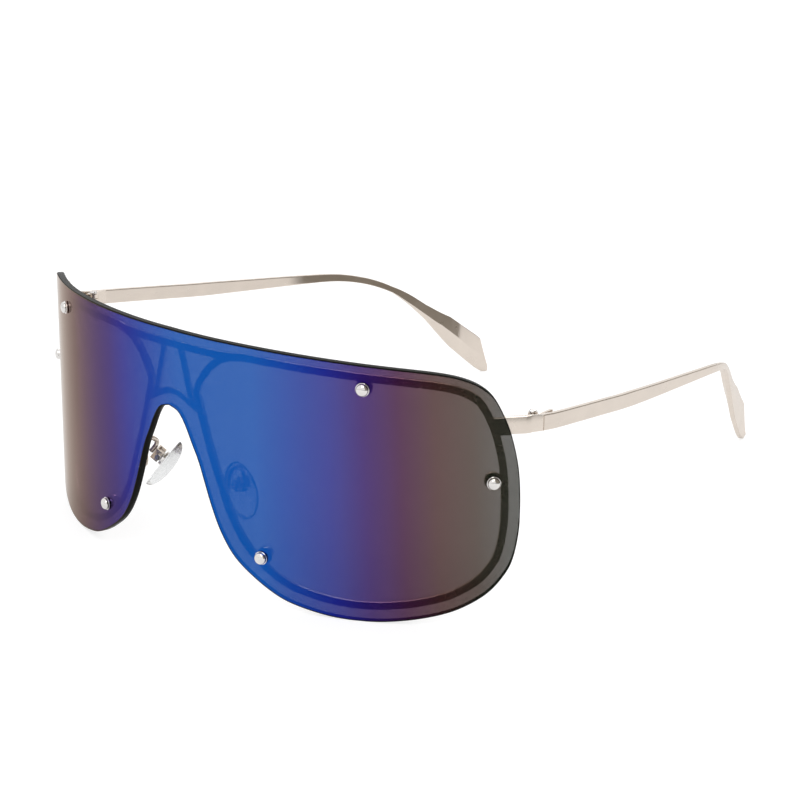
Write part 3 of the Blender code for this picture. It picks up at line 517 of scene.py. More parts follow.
def combined(mesh, others, operation):
    """Cut a closed mesh by others, or join them to it, one after another."""
    for other in others:
        things = [bpy.data.objects.new("work", data) for data in (mesh, other)]
        for thing in things:
            bpy.context.scene.collection.objects.link(thing)
        change = things[0].modifiers.new("combine", "BOOLEAN")
        change.operation = operation
        change.object = things[1]
        mesh = evaluated(things[0])
        for thing in things:
            bpy.data.objects.remove(thing, do_unlink=True)
    return mesh


def coordinates(mesh):
    """Vertex places of a mesh as an array."""
    points = np.empty(len(mesh.vertices) * 3)
    mesh.vertices.foreach_get("co", points)
    return points.reshape(-1, 3)


def set_coordinates(mesh, points):
    """Put an array of places back into a mesh."""
    mesh.vertices.foreach_set("co", np.asarray(points, np.float32).ravel())
    mesh.update()


def turned(profile, sides=ROUND_SIDES):
    """Surface of revolution about Z: each (radius, height) of the profile goes round as
    (r cos a, r sin a, h). A profile that starts off the axis closes on itself."""
    profile = np.array(profile, float)
    turn = round_turns(sides)
    ring = np.stack([np.cos(turn), np.sin(turn)], axis=-1)
    rings = np.concatenate([profile[:, None, :1] * ring[None],
                            np.broadcast_to(profile[:, None, 1:], (len(profile), sides, 1))],
                           axis=-1)
    if profile[0, 0] > 0:
        return loop_tube(rings)
    return rings.reshape(-1, 3), grid_quads(len(profile), sides, True).tolist()


def mirrored(points):
    """Points of the other side of the face."""
    return np.asarray(points) * np.array([-1.0, 1.0, 1.0])


def softened(name, body, material):
    """Copy of a CAD node whose loose triangles are merged and whose edges are bevelled."""
    flat, bevelled = math.radians(1), math.radians(35)
    mesh = frame["nodes"][name].data.copy()
    form = bmesh.new()
    form.from_mesh(mesh)
    bmesh.ops.remove_doubles(form, verts=form.verts, dist=WELD)
    bmesh.ops.dissolve_limit(form, angle_limit=flat, verts=form.verts, edges=form.edges)
    form.to_mesh(mesh)
    form.free()
    mesh.materials.clear()
    piece = add_piece("fine_" + name, mesh, body, material, [name], SMALL_SHARP)
    bevel = piece.modifiers.new("soft edges", "BEVEL")
    bevel.width = settings().fasteners.soft_edge
    bevel.segments = 2
    bevel.limit_method = "ANGLE"
    bevel.angle_limit = bevelled
    bevel.harden_normals = True
    return piece


def new_group(name, inputs, outputs):
    """Shader node group with named inputs and outputs, each (kind, name, default)."""
    group = bpy.data.node_groups.new(name, "ShaderNodeTree")
    for direction, sockets in (("INPUT", inputs), ("OUTPUT", outputs)):
        for kind, title, default in sockets:
            socket = group.interface.new_socket(title, in_out=direction,
                                                socket_type="NodeSocket" + kind)
            if default is not None:
                socket.default_value = default
    return group, group.nodes.new("NodeGroupInput"), group.nodes.new("NodeGroupOutput")


def node(tree, kind, **values):
    """New shader node with its properties set."""
    made = tree.nodes.new("ShaderNode" + kind)
    for key, value in values.items():
        setattr(made, key, value)
    return made


def link(tree, source, target):
    """Join an output to an input. A plain value goes straight into the input."""
    if isinstance(source, bpy.types.NodeSocket):
        tree.links.new(source, target)
    else:
        target.default_value = source


def maths(tree, operation, *values):
    """Math node over sockets or numbers."""
    made = node(tree, "Math", operation=operation)
    for slot_number, value in enumerate(values):
        link(tree, value, made.inputs[slot_number])
    return made.outputs[0]


def map_range(tree, value, before, after, kind="SMOOTHSTEP"):
    """A value carried from one range to another, as a smooth step or straight."""
    made = node(tree, "MapRange", interpolation_type=kind)
    link(tree, value, made.inputs["Value"])
    for title, number in zip(("From Min", "From Max", "To Min", "To Max"), before + after):
        link(tree, number, made.inputs[title])
    return made.outputs["Result"]


def noise(tree, place, scale, detail, distortion=0.0):
    """Noise at a place, from 0 to 1."""
    made = node(tree, "TexNoise")
    for title, value in (("Vector", place), ("Scale", scale), ("Detail", detail),
                         ("Distortion", distortion)):
        link(tree, value, made.inputs[title])
    return made.outputs["Fac"]


def bump(tree, height, strength, distance):
    """Normal that a height makes."""
    made = node(tree, "Bump")
    for title, value in (("Height", height), ("Strength", strength), ("Distance", distance)):
        link(tree, value, made.inputs[title])
    return made.outputs["Normal"]


def mixed(tree, factor, first, second):
    """Mix of two colours."""
    made = node(tree, "Mix", data_type="RGBA")
    for number, value in zip((0, 6, 7), (factor, first, second)):
        link(tree, value, made.inputs[number])
    return made.outputs[2]


def seen_in_gloss(tree, path):
    """1 for rays that gloss or glass sends out, or else 0."""
    return maths(tree, "MAXIMUM", path.outputs["Is Glossy Ray"],
                 path.outputs["Is Transmission Ray"])


def colour_stops(tree, share, positions, colours):
    """Colour ramp over a share."""
    ramp = node(tree, "ValToRGB")
    while len(ramp.color_ramp.elements) < len(positions):
        ramp.color_ramp.elements.new(0.5)
    for element, position, colour in zip(ramp.color_ramp.elements, positions, colours):
        element.position = position
        element.color = (*colour, 1.0)
    link(tree, share, ramp.inputs["Fac"])
    return ramp.outputs["Color"]


def share_group():
    """Share of the reach from the middle of the blue: the distance along the lens, worked
    out on Object coordinates as R atan2(x, centre - y), slanted a little and made uneven."""
    lens = settings().lens
    group, start, end = new_group(
        "lens_share",
        [("Float", "Middle", 0.014), ("Float", "Reach", 0.070),
         ("Float", "Far reach", 0.074), ("Float", "Far slope", 0.139),
         ("Float", "Far start", 0.22), ("Float", "Slant", 0.05),
         ("Float", "Unevenness", 0.03), ("Float", "Cloud scale", 26.0)],
        [("Float", "Share", None)])
    given = start.outputs
    place = node(group, "TexCoord").outputs["Object"]
    axes = node(group, "SeparateXYZ")
    link(group, place, axes.inputs[0])
    x, y, z = axes.outputs
    back = maths(group, "SUBTRACT", FRONT_Y + lens.radius, y)
    along = maths(group, "MULTIPLY", maths(group, "ARCTAN2", x, back), lens.radius)
    low = maths(group, "MULTIPLY", maths(group, "SUBTRACT", z, lens.height / 2),
                given["Slant"])
    away = maths(group, "SUBTRACT", maths(group, "ADD", along, low), given["Middle"])
    other = maths(group, "MULTIPLY", away, -1.0)
    steep = maths(group, "DIVIDE", other, given["Far reach"])
    gentle = maths(group, "ADD", maths(group, "DIVIDE", other, given["Far slope"]),
                   given["Far start"])
    share = maths(group, "MAXIMUM", maths(group, "DIVIDE", away, given["Reach"]),
                  maths(group, "MINIMUM", steep, gentle))
    drift = maths(group, "SUBTRACT", noise(group, place, given["Cloud scale"], detail=3.0),
                  0.5)
    wander = maths(group, "MULTIPLY", drift, given["Unevenness"])
    link(group, maths(group, "ADD", share, wander), end.inputs["Share"])
    return group


def smeared(tree, haze, scale, detail, swing):
    """Haze that smears on the surface add to."""
    smear = noise(tree, node(tree, "TexCoord").outputs["Object"], scale, detail)
    return maths(tree, "MULTIPLY_ADD", smear, swing, haze)


def coat_group():
    """Mirror coat: its colour and cover follow the lens share, smears vary its haze, and a
    dark line runs where the mesh's own edge_gap, the distance to the outline, is small."""
    colours, width = settings().colours, settings().lens.border
    group, start, end = new_group(
        "mirror_coat",
        [("Float", "Cover", 0.885), ("Float", "End cover", 0.68), ("Float", "Haze", 0.02)],
        [("Color", "Colour", None), ("Float", "Cover", None), ("Float", "Haze", None)])
    cover_shares, line_shares = (0.20, 0.85), (0.7, 1.3)
    share = node(group, "Group", node_tree=shared_group("lens_share", share_group)).outputs[0]
    coat = colour_stops(group, share, COAT_STOP_SHARES,
                        (colours.blue, colours.blue, colours.deep_blue, colours.indigo,
                         colours.violet, colours.plum, colours.bronze, colours.olive))
    cover = map_range(group, share, cover_shares,
                      (start.outputs["Cover"], start.outputs["End cover"]))
    gap = node(group, "Attribute", attribute_name="edge_gap").outputs["Fac"]
    line = map_range(group, gap, (width * line_shares[0], width * line_shares[1]), (1.0, 0.0))
    link(group, mixed(group, line, coat, (*colours.rim_edge, 1.0)), end.inputs["Colour"])
    link(group, maths(group, "MAXIMUM", cover, line), end.inputs["Cover"])
    haze = smeared(group, start.outputs["Haze"], scale=120.0, detail=4.0, swing=0.03)
    link(group, haze, end.inputs["Haze"])
    return group


def body_group():
    """Tint of the lens body, which follows the lens share, and a slight haze in it."""
    colours = settings().colours
    group, start, end = new_group(
        "lens_tint", [("Float", "Haze", 0.0)],
        [("Color", "Colour", None), ("Float", "Haze", None)])
    share = node(group, "Group", node_tree=shared_group("lens_share", share_group)).outputs[0]
    tones = [getattr(colours, "body_%d" % (k + 1)) for k in range(len(BODY_STOP_SHARES))]
    link(group, colour_stops(group, share, BODY_STOP_SHARES, tones), end.inputs["Colour"])
    haze = smeared(group, start.outputs["Haze"], scale=90.0, detail=3.0, swing=0.006)
    link(group, haze, end.inputs["Haze"])
    return group


def polish_group():
    """Polished metal: cloudy roughness, faint colour drift and fine hairlines whose height
    drives a bump. The noise is stretched along the hairlines."""
    group, start, end = new_group(
        "polished_metal",
        [("Color", "Base", (0.8, 0.8, 0.8, 1.0)), ("Float", "Roughness", 0.2),
         ("Float", "Hairlines", 0.2), ("Float", "Scale", 900.0),
         ("Vector", "Stretch", (1.0, 0.04, 1.0)), ("Float", "Cloud scale", 160.0),
         ("Float", "Hairline depth", 0.00001)],
        [("Color", "Colour", None), ("Float", "Roughness", None), ("Vector", "Normal", None)])
    line_swing, cloud_swing = 0.10, 0.08
    noise_range, tone_range = (0.3, 0.7), (0.965, 1.03)
    given = start.outputs
    place = node(group, "TexCoord").outputs["Object"]
    long = node(group, "VectorMath", operation="MULTIPLY")
    link(group, place, long.inputs[0])
    link(group, given["Stretch"], long.inputs[1])
    lines = noise(group, long.outputs[0], given["Scale"], detail=3.0)
    clouds = noise(group, place, given["Cloud scale"], detail=4.0)
    rough = maths(group, "MULTIPLY_ADD", lines, line_swing, given["Roughness"])
    rough = maths(group, "MULTIPLY_ADD", clouds, cloud_swing, rough)
    rough = maths(group, "SUBTRACT", rough, (line_swing + cloud_swing) / 2)
    tone = map_range(group, clouds, noise_range, tone_range, "LINEAR")
    toned = node(group, "VectorMath", operation="SCALE")
    link(group, given["Base"], toned.inputs[0])
    link(group, tone, toned.inputs["Scale"])
    link(group, toned.outputs[0], end.inputs["Colour"])
    link(group, rough, end.inputs["Roughness"])
    link(group, bump(group, lines, given["Hairlines"], given["Hairline depth"]),
         end.inputs["Normal"])
    return group


def moulded_group():
    """Moulded plastic or silicone: soft flow marks in roughness and a slight ripple."""
    group, start, end = new_group(
        "moulded",
        [("Float", "Roughness", 0.15), ("Float", "Scale", 400.0), ("Float", "Ripple", 0.3),
         ("Float", "Ripple depth", 0.00015)],
        [("Float", "Roughness", None), ("Vector", "Normal", None)])
    swing = 0.12
    given = start.outputs
    flow = noise(group, node(group, "TexCoord").outputs["Object"], given["Scale"],
                 detail=5.0, distortion=0.6)
    rough = maths(group, "MULTIPLY_ADD", flow, swing, given["Roughness"])
    link(group, maths(group, "SUBTRACT", rough, swing / 2), end.inputs["Roughness"])
    link(group, bump(group, flow, given["Ripple"], given["Ripple depth"]),
         end.inputs["Normal"])
    return group


def shared_group(name, build):
    """A node group that is built once."""
    found = bpy.data.node_groups.get(name)
    return found if found else build()


def new_material(name, group=None, values=None, plain=None):
    """Principled material. A node group with values of its own feeds the sockets that its
    outputs stand for, and plain values go straight into the shader."""
    material = bpy.data.materials.new(name)
    material.use_nodes = True
    tree = material.node_tree
    shader = tree.nodes["Principled BSDF"]
    effect = None
    if group:
        effect = node(tree, "Group", node_tree=group)
        for key, value in (values or {}).items():
            effect.inputs[key].default_value = value
        for output, socket in FEEDS:
            if output in effect.outputs:
                link(tree, effect.outputs[output], shader.inputs[socket])
    for key, value in (plain or {}).items():
        shader.inputs[key].default_value = value
    return material, tree, shader, effect


def once(name, build):
    """A material that is built once."""
    found = bpy.data.materials.get(name)
    return found if found else build(name)


def coat_material(name):
    """Half-silvered mirror coat, whose cover rises where it is seen along its surface."""
    rise_power = 1.1
    material, tree, shader, effect = new_material(
        name, shared_group("mirror_coat", coat_group), {},
        {"Metallic": 1.0, "Specular Tint": (*settings().colours.flare, 1.0)})
    grazing = node(tree, "LayerWeight")
    grazing.inputs["Blend"].default_value = 0.5
    rise = maths(tree, "POWER", grazing.outputs["Facing"], rise_power)
    bare = maths(tree, "SUBTRACT", 1.0, effect.outputs["Cover"])
    link(tree, maths(tree, "MULTIPLY_ADD", bare, rise, effect.outputs["Cover"]),
         shader.inputs["Alpha"])
    return material


def clear_film(name):
    """Inner side of the coat, which doesn't show."""
    plain = {"Base Color": (*settings().colours.blue, 1.0), "Alpha": 0.0}
    return new_material(name, plain=plain)[0]


def body_material(name):
    """Tinted lens body that bends light."""
    plain = {"IOR": 1.58, "Specular IOR Level": 0.15, "Transmission Weight": 1.0}
    return new_material(name, shared_group("lens_tint", body_group), {}, plain)[0]


def edge_material(name):
    """Cut and polished edge of the lens, nearly black."""
    values = {"Roughness": 0.24, "Scale": 900.0, "Ripple": 0.4}
    plain = {"Base Color": (*settings().colours.rim_edge, 1.0), "Specular IOR Level": 0.03}
    return new_material(name, shared_group("moulded", moulded_group), values, plain)[0]


def silicone(name):
    """Clear silicone."""
    values = {"Roughness": 0.10, "Scale": 500.0, "Ripple": 1.0}
    plain = {"Base Color": (*settings().colours.silicone, 1.0), "IOR": 1.41,
             "Transmission Weight": 1.0}
    return new_material(name, shared_group("moulded", moulded_group), values, plain)[0]


def metal(name):
    """Polished or brushed metal from the table of metals."""
    colour, values = METALS[name]
    values = {"Base": (*getattr(settings().colours, colour), 1.0), **values}
    return new_material(name, shared_group("polished_metal", polish_group), values,
                        {"Metallic": 1.0})[0]


def screw_hole(grid, centre, radius, near):
    """Open a round hole in a grid of flat points. A block of cells about the centre goes,
    its border moves onto the circle and the cells round it move less and less: a point that
    lies m blocks out, with m from 1 to last, goes (last - m) / (last - 1) of the way."""
    last = 3
    gap = np.linalg.norm((grid - centre)[..., [0, 2]], axis=-1)
    row, column = np.unravel_index(np.argmin(gap), gap.shape)
    steps = [np.linalg.norm((point - grid[row, column])[[0, 2]])
             for point in (grid[row + 1, column], grid[row, column + 1])]
    half = np.maximum(1, np.round(near / np.array(steps))).astype(int)
    i, j = np.indices(grid.shape[:2])
    out = np.stack([(i - row) / half[0], (j - column) / half[1]], axis=-1)
    blocks = np.abs(out).max(axis=-1)
    turn = np.arctan2(out[..., 1], out[..., 0])
    circle = centre + radius * np.stack([np.cos(turn), np.zeros_like(turn), np.sin(turn)], -1)
    weight = np.clip((last - blocks) / (last - 1), 0, 1)[..., None]
    touched = (blocks >= 1 - WELD) & (blocks < last)
    moved = np.where(touched[..., None], grid + weight * (circle - grid), grid)
    low, high = (row - half[0], column - half[1]), (row + half[0], column + half[1])
    down, across = np.arange(low[0], high[0]), np.arange(low[1], high[1])
    ring = np.vstack([np.stack([down, np.full_like(down, low[1])], 1),
                      np.stack([np.full_like(across, high[0]), across], 1),
                      np.stack([down[::-1] + 1, np.full_like(down, high[1])], 1),
                      np.stack([np.full_like(across, low[0]), across[::-1] + 1], 1)])
    inner = (i >= low[0]) & (i < high[0]) & (j >= low[1]) & (j < high[1])
    return moved, inner, ring


def lens_shell(front, back, edge):
    """Closed curved plate with the lens outline and its six holes. Column i stands at
    s = (arc / 2) sin(t), row j at an even share of the height there. Front and back are two
    such grids, joined by a chamfered edge all round and by a wall in each hole."""
    lens, fasteners = settings().lens, settings().fasteners
    columns, rows = LENS_COLUMNS, LENS_ROWS
    outline = smooth(flat_points(LENS_OUTLINE_SHARES), CURVE_STEPS)
    outline[:, 1] = np.maximum(outline[:, 1], 0.0)
    end = int(np.argmax(outline[:, 0]))
    s = lens.arc / 2 * np.sin(np.linspace(-math.pi / 2, math.pi / 2, columns))
    top = np.interp(np.abs(s), outline[:end + 1, 0], outline[:end + 1, 1])
    low = np.interp(np.abs(s), outline[end:, 0][::-1], outline[end:, 1][::-1])
    bevel = np.minimum(edge, (top - low) / 4)
    up = np.linspace(0.0, 1.0, rows)
    z = (low + bevel)[:, None] + up * (top - low - 2 * bevel)[:, None]
    flat = np.stack([np.broadcast_to(s[:, None], z.shape), np.zeros_like(z), z], axis=-1)
    keep = np.ones((columns, rows), bool)
    bore = fasteners.shank_radius + fasteners.clearance
    rings = []
    for place in screw_places().values():
        centre = np.array([place[0], 0.0, place[1]])
        flat, inner, ring = screw_hole(flat, centre, bore, lens.hole_block)
        keep &= ~inner
        rings.append(ring)
    shift = columns * rows
    cells = grid_quads(columns, rows)[keep[:-1, :-1].ravel()]
    faces = [cells, cells[:, ::-1] + shift]
    for ring in rings:
        index = ring[:, 0] * rows + ring[:, 1]
        after = np.roll(index, -1)
        faces.append(np.stack([index, after, after + shift, index + shift], axis=1))
    sheets = [(flat + np.array([0.0, depth, 0.0])).reshape(-1, 3) for depth in (front, back)]
    rims = [np.stack([s, np.full_like(s, depth), height], axis=-1)
            for height in (top, low) for depth in (front + edge, back - edge)]
    column = np.arange(columns)
    for side, row in ((0, rows - 1), (1, 0)):
        first = 2 * shift + 2 * side * columns
        chain = [column * rows + row, first + column, first + columns + column,
                 shift + column * rows + row]
        for a, b in zip(chain, chain[1:]):
            faces.append(np.stack([a[:-1], a[1:], b[1:], b[:-1]], axis=1))
    for end_column in (0, columns - 1):
        faces.append(2 * shift + end_column + columns * np.array([[0, 1, 3, 2]]))
    return wrap(np.vstack(sheets + rims)), np.vstack(faces).tolist()


def note_edge_gap(mesh):
    """Store each vertex's distance to the lens outline, up to a few borders, on the mesh.
    Laid flat again, a vertex is at s = R atan2(x, centre - y) and at its own height."""
    lens = settings().lens
    reach = 8 * lens.border
    points = coordinates(mesh)
    s = lens.radius * np.arctan2(np.abs(points[:, 0]), FRONT_Y + lens.radius - points[:, 1])
    flat = np.stack([s, points[:, 2]], axis=1)
    gap = np.full(len(flat), reach)
    outline = smooth(flat_points(LENS_OUTLINE_SHARES), OUTLINE_STEPS)
    for stretch in np.array_split(outline, OUTLINE_STRETCHES):
        low, high = stretch.min(axis=0) - reach, stretch.max(axis=0) + reach
        near = np.flatnonzero(((flat > low) & (flat < high)).all(axis=1))
        away = np.linalg.norm(flat[near, None] - stretch[None], axis=-1)
        gap[near] = np.minimum(gap[near], away.min(axis=1))
    mesh.attributes.new("edge_gap", "FLOAT", "POINT").data.foreach_set(
        "value", gap.astype(np.float32))


def paint_lens(mesh, front_slot, back_slot, edge_slot):
    """Give each face its material by how its normal lies to the lens curve: outward on the
    front, inward on the back, and across on the edge."""
    straight = 0.9
    count = len(mesh.polygons)
    normals, centres = np.empty(count * 3), np.empty(count * 3)
    mesh.polygons.foreach_get("normal", normals)
    mesh.polygons.foreach_get("center", centres)
    normals, centres = normals.reshape(-1, 3), centres.reshape(-1, 3)
    outward = centres - np.array([0.0, FRONT_Y + settings().lens.radius, 0.0])
    outward[:, 2] = 0.0
    facing = (normals * unit(outward)).sum(axis=1)
    slots = np.select([facing > straight, facing < -straight], [front_slot, back_slot],
                      edge_slot)
    mesh.polygons.foreach_set("material_index", slots.astype(np.int32))
    mesh.update()


def band_section(width, depth, rounding):
    """Rounded rectangle across a band: (across, deep) points."""
    corners = np.array([(-0.5, -0.5), (0.5, -0.5), (0.5, 0.5), (-0.5, 0.5)])
    loop = corners * np.array([width, depth])
    return round_corners(loop, rounding)


def flat_sweep(line, section, closed):
    """A section carried along a flat line: each point is the line's point, plus its
    sideways direction times the section's across, at the section's depth."""
    side = sideways(line, closed)
    flat = line[:, None, :] + side[:, None, :] * section[None, :, :1]
    deep = np.broadcast_to(section[None, :, 1:] + frame_middle(), (*flat.shape[:2], 1))
    rings = np.concatenate([flat[..., :1], deep, flat[..., 1:]], axis=-1)
    return loop_tube(rings) if closed else tube(rings)


def standing(profile, place, sides):
    """Surface of revolution that stands across the frame at a screw."""
    points, faces = turned(profile, sides)
    return points[:, [0, 2, 1]] + np.array([place[0], frame_middle(), place[1]]), faces


def lug_disc(place, radius, depth, rounding):
    """Flat round lug with softened edges, standing at a screw."""
    half, soft = depth / 2, rounding / 4
    upper = [(0, half), (radius - rounding, half), (radius - soft, half - soft),
             (radius, half - rounding)]
    return standing(upper + [(r, -h) for r, h in reversed(upper)], place, LUG_SIDES)


def frame_pieces():
    """Flat meshes that make up the frame: rims, struts, top bar, nose arch, webs and lugs."""
    front = settings().front
    rim = rim_line()
    meshes = []
    rim_section = band_section(front.rim_width, front.rim_depth, front.round_edge)
    strut_section = band_section(front.lace_width, front.strut_depth, front.round_edge)
    for _, sign in SIDES:
        flip = np.array([sign, 1.0])
        meshes.append(flat_sweep(rim * flip, rim_section, True))
        strut = smooth(flat_points(STRUT_SHARES), CURVE_STEPS)
        meshes.append(flat_sweep(strut * flip, strut_section, False))
    for shares, width, depth in ((TOP_BAR_SHARES, front.rim_width, front.bar_depth),
                                 (NOSE_ARCH_SHARES, front.lace_width, front.arch_depth)):
        half = smooth(flat_points(shares), CURVE_STEPS)
        line = np.vstack([half, half[:-1][::-1] * np.array([-1.0, 1.0])])
        section = band_section(width, depth, front.round_edge)
        meshes.append(flat_sweep(line, section, False))
    web_section = band_section(front.rim_width, front.web_depth, front.round_edge)
    for place in screw_places().values():
        line = rim * np.array([math.copysign(1, place[0]), 1.0])
        nearest = line[np.argmin(np.linalg.norm(line - np.array(place), axis=1))]
        meshes.append(flat_sweep(np.array([place, nearest]), web_section, False))
        meshes.append(lug_disc(place, front.lug_radius, front.lug_depth, front.round_edge))
    return [make_mesh("frame_band", *parts) for parts in meshes]


def hole_cutters():
    """Round cutters for the screws through the lugs."""
    front, fasteners = settings().front, settings().fasteners
    radius, reach = fasteners.shank_radius + fasteners.clearance, front.rim_depth
    profile = [(0, reach), (radius, reach), (radius, -reach), (0, -reach)]
    return [make_mesh("hole", *standing(profile, place, HOLE_SIDES))
            for place in screw_places().values()]


def screw_matrices():
    """Place of each lens screw: Z out of the lens front, at the front surface."""
    radius = settings().lens.radius
    outward = Matrix.Rotation(math.pi / 2, 4, "X")
    matrices = {}
    for name, (s, z) in screw_places().items():
        place = wrap(np.array([s, 0.0, z]))
        turn = Matrix.Rotation(s / radius, 4, "Z")
        matrices[name] = Matrix.Translation(Vector(place)) @ turn @ outward
    return matrices


def head_profile():
    """Screw: a dome, r = R sin(a) ** fullness and h = H cos(a), that meets a short upright
    rim, then the shank down to its end."""
    front, sizes = settings().front, settings().fasteners
    rim_share, fullness = 0.10, 0.9
    seat = 2 * sizes.clearance + sizes.washer_thickness
    rim = sizes.head_height * rim_share
    dome = [(sizes.head_radius * math.sin(a) ** fullness,
             seat + rim + (sizes.head_height - rim) * math.cos(a))
            for a in np.linspace(0, math.pi / 2, DOME_STEPS)]
    tip = -(frame_middle() + front.rim_depth / 2 + sizes.clearance + sizes.nut_thickness
            + sizes.end)
    soft = sizes.soft_edge
    base = [(sizes.head_radius, seat + soft), (sizes.head_radius - soft, seat),
            (sizes.shank_radius, seat), (sizes.shank_radius, tip + 2 * soft),
            (sizes.shank_radius - 2 * soft, tip), (0, tip)]
    return dome + base


def washer_profile():
    """Flat ring with softened edges."""
    sizes = settings().fasteners
    bore = sizes.shank_radius + sizes.clearance
    low, high = sizes.clearance, sizes.clearance + sizes.washer_thickness
    soft = sizes.soft_edge
    return [(sizes.washer_radius - soft, high), (sizes.washer_radius, high - soft),
            (sizes.washer_radius, low + soft), (sizes.washer_radius - soft, low),
            (bore, low), (bore, high)]


def nut_surface():
    """Six-sided nut. Its outer radius at angle a is the lesser of the hexagon's,
    apothem / cos(a mod 60 - 30), and a cone's that chamfers its corners."""
    front, sizes = settings().front, settings().fasteners
    high = -(frame_middle() + front.rim_depth / 2 + sizes.clearance)
    low = high - sizes.nut_thickness
    lead, sector = 0.99, math.pi / 3
    turn = round_turns(NUT_SIDES)
    apothem = sizes.nut_radius * math.cos(sector / 2)
    hexagon = apothem / np.cos(np.mod(turn, sector) - sector / 2)
    chamfer = sizes.nut_radius - apothem
    height = np.array([high, high - chamfer / 2, high - chamfer, low + chamfer,
                       low + chamfer / 2, low, low, high])
    cone = np.array([apothem * lead, apothem + chamfer / 2, sizes.nut_radius])
    outer = np.minimum(hexagon[None, :], np.concatenate([cone, cone[::-1]])[:, None])
    bore = np.full((2, NUT_SIDES), sizes.shank_radius + sizes.clearance)
    radius = np.vstack([outer, bore])
    rings = np.stack([radius * np.cos(turn), radius * np.sin(turn),
                      np.broadcast_to(height[:, None], radius.shape)], axis=-1)
    return loop_tube(rings)


def placed(points, matrix):
    """Points carried by a matrix."""
    turn = np.array(matrix)
    return np.asarray(points) @ turn[:3, :3].T + turn[:3, 3]


def endpiece_end():
    """Plan place where the endpiece's bend ends, and the angle at which it starts."""
    lens, front, sides = settings().lens, settings().front, settings().sides
    turn = (lens.arc / 2 + sides.overhang - front.gap - sides.bend) / lens.radius
    start = wrap(np.array([turn * lens.radius, frame_middle(), 0.0]))
    across = sides.bend * (1 - math.sin(turn))
    back = sides.bend * math.cos(turn)
    return start[0] + across, start[1] + back, turn


def rim_outside_at(z):
    """Length along the lens at which the rim's outer side reaches a height."""
    edge = offset(rim_line(COARSE_STEPS), -settings().front.rim_width / 2, True)
    side = edge[edge[:, 0] > settings().lens.arc / 4]
    side = side[np.argmax(side[:, 1]):np.argmin(side[:, 1])]
    return float(np.interp(-z, -side[:, 1], side[:, 0]))


def butt_reach():
    """How far endpiece and temple each reach into the gap between them."""
    return (settings().sides.butt_gap - settings().sides.reveal) / 2


def endpiece_rings():
    """Sections of the left endpiece: along the lens curve from the rim, round a quarter
    bend of its own radius, and straight back to the hinge."""
    lens, sides = settings().lens, settings().sides
    first_step = 0.02
    top, low = sides.end_z + sides.end_height / 2, sides.end_z - sides.end_height / 2
    half = sides.end_thickness / 2
    front, back = frame_middle() - half, frame_middle() + half
    end_x, end_y, turn = endpiece_end()
    s_top, s_low = (rim_outside_at(z) - sides.round_edge for z in (top, low))
    first = max(s_top, s_low)
    along = np.concatenate([[0.0], np.linspace(first_step, 1.0, STRIP_STEPS)])[:, None]
    straight = first + along * (turn * lens.radius - first)
    s_high, s_base = (np.where(along > 0, straight, s) for s in (s_top, s_low))
    curve = wrap(np.stack([
        np.hstack([s_high, s_high, s_base, s_base]),
        np.broadcast_to([front, back, back, front], (len(along), 4)),
        np.broadcast_to([top, top, low, low], (len(along), 4))], axis=-1))
    angles = np.linspace(turn, math.pi / 2, BEND_STEPS)[1:, None]
    across = np.array([half, -half, -half, half])
    far = across + sides.bend
    bend = np.stack([end_x - sides.bend + far * np.sin(angles), end_y - far * np.cos(angles),
                     np.broadcast_to([top, top, low, low], (len(angles), 4))], axis=-1)
    share = np.linspace(0, 1, RUN_STEPS)[1:, None]
    tops = top + share * (sides.line_z + sides.front_height / 2 - top)
    lows = low + share * (sides.line_z - sides.front_height / 2 - low)
    run = np.stack([np.broadcast_to(end_x + across, (len(share), 4)),
                    np.broadcast_to(end_y + share * (sides.run + butt_reach()),
                                    (len(share), 4)),
                    np.hstack([tops, tops, lows, lows])], axis=-1)
    return round_corners(np.concatenate([curve, bend, run]), sides.round_edge)


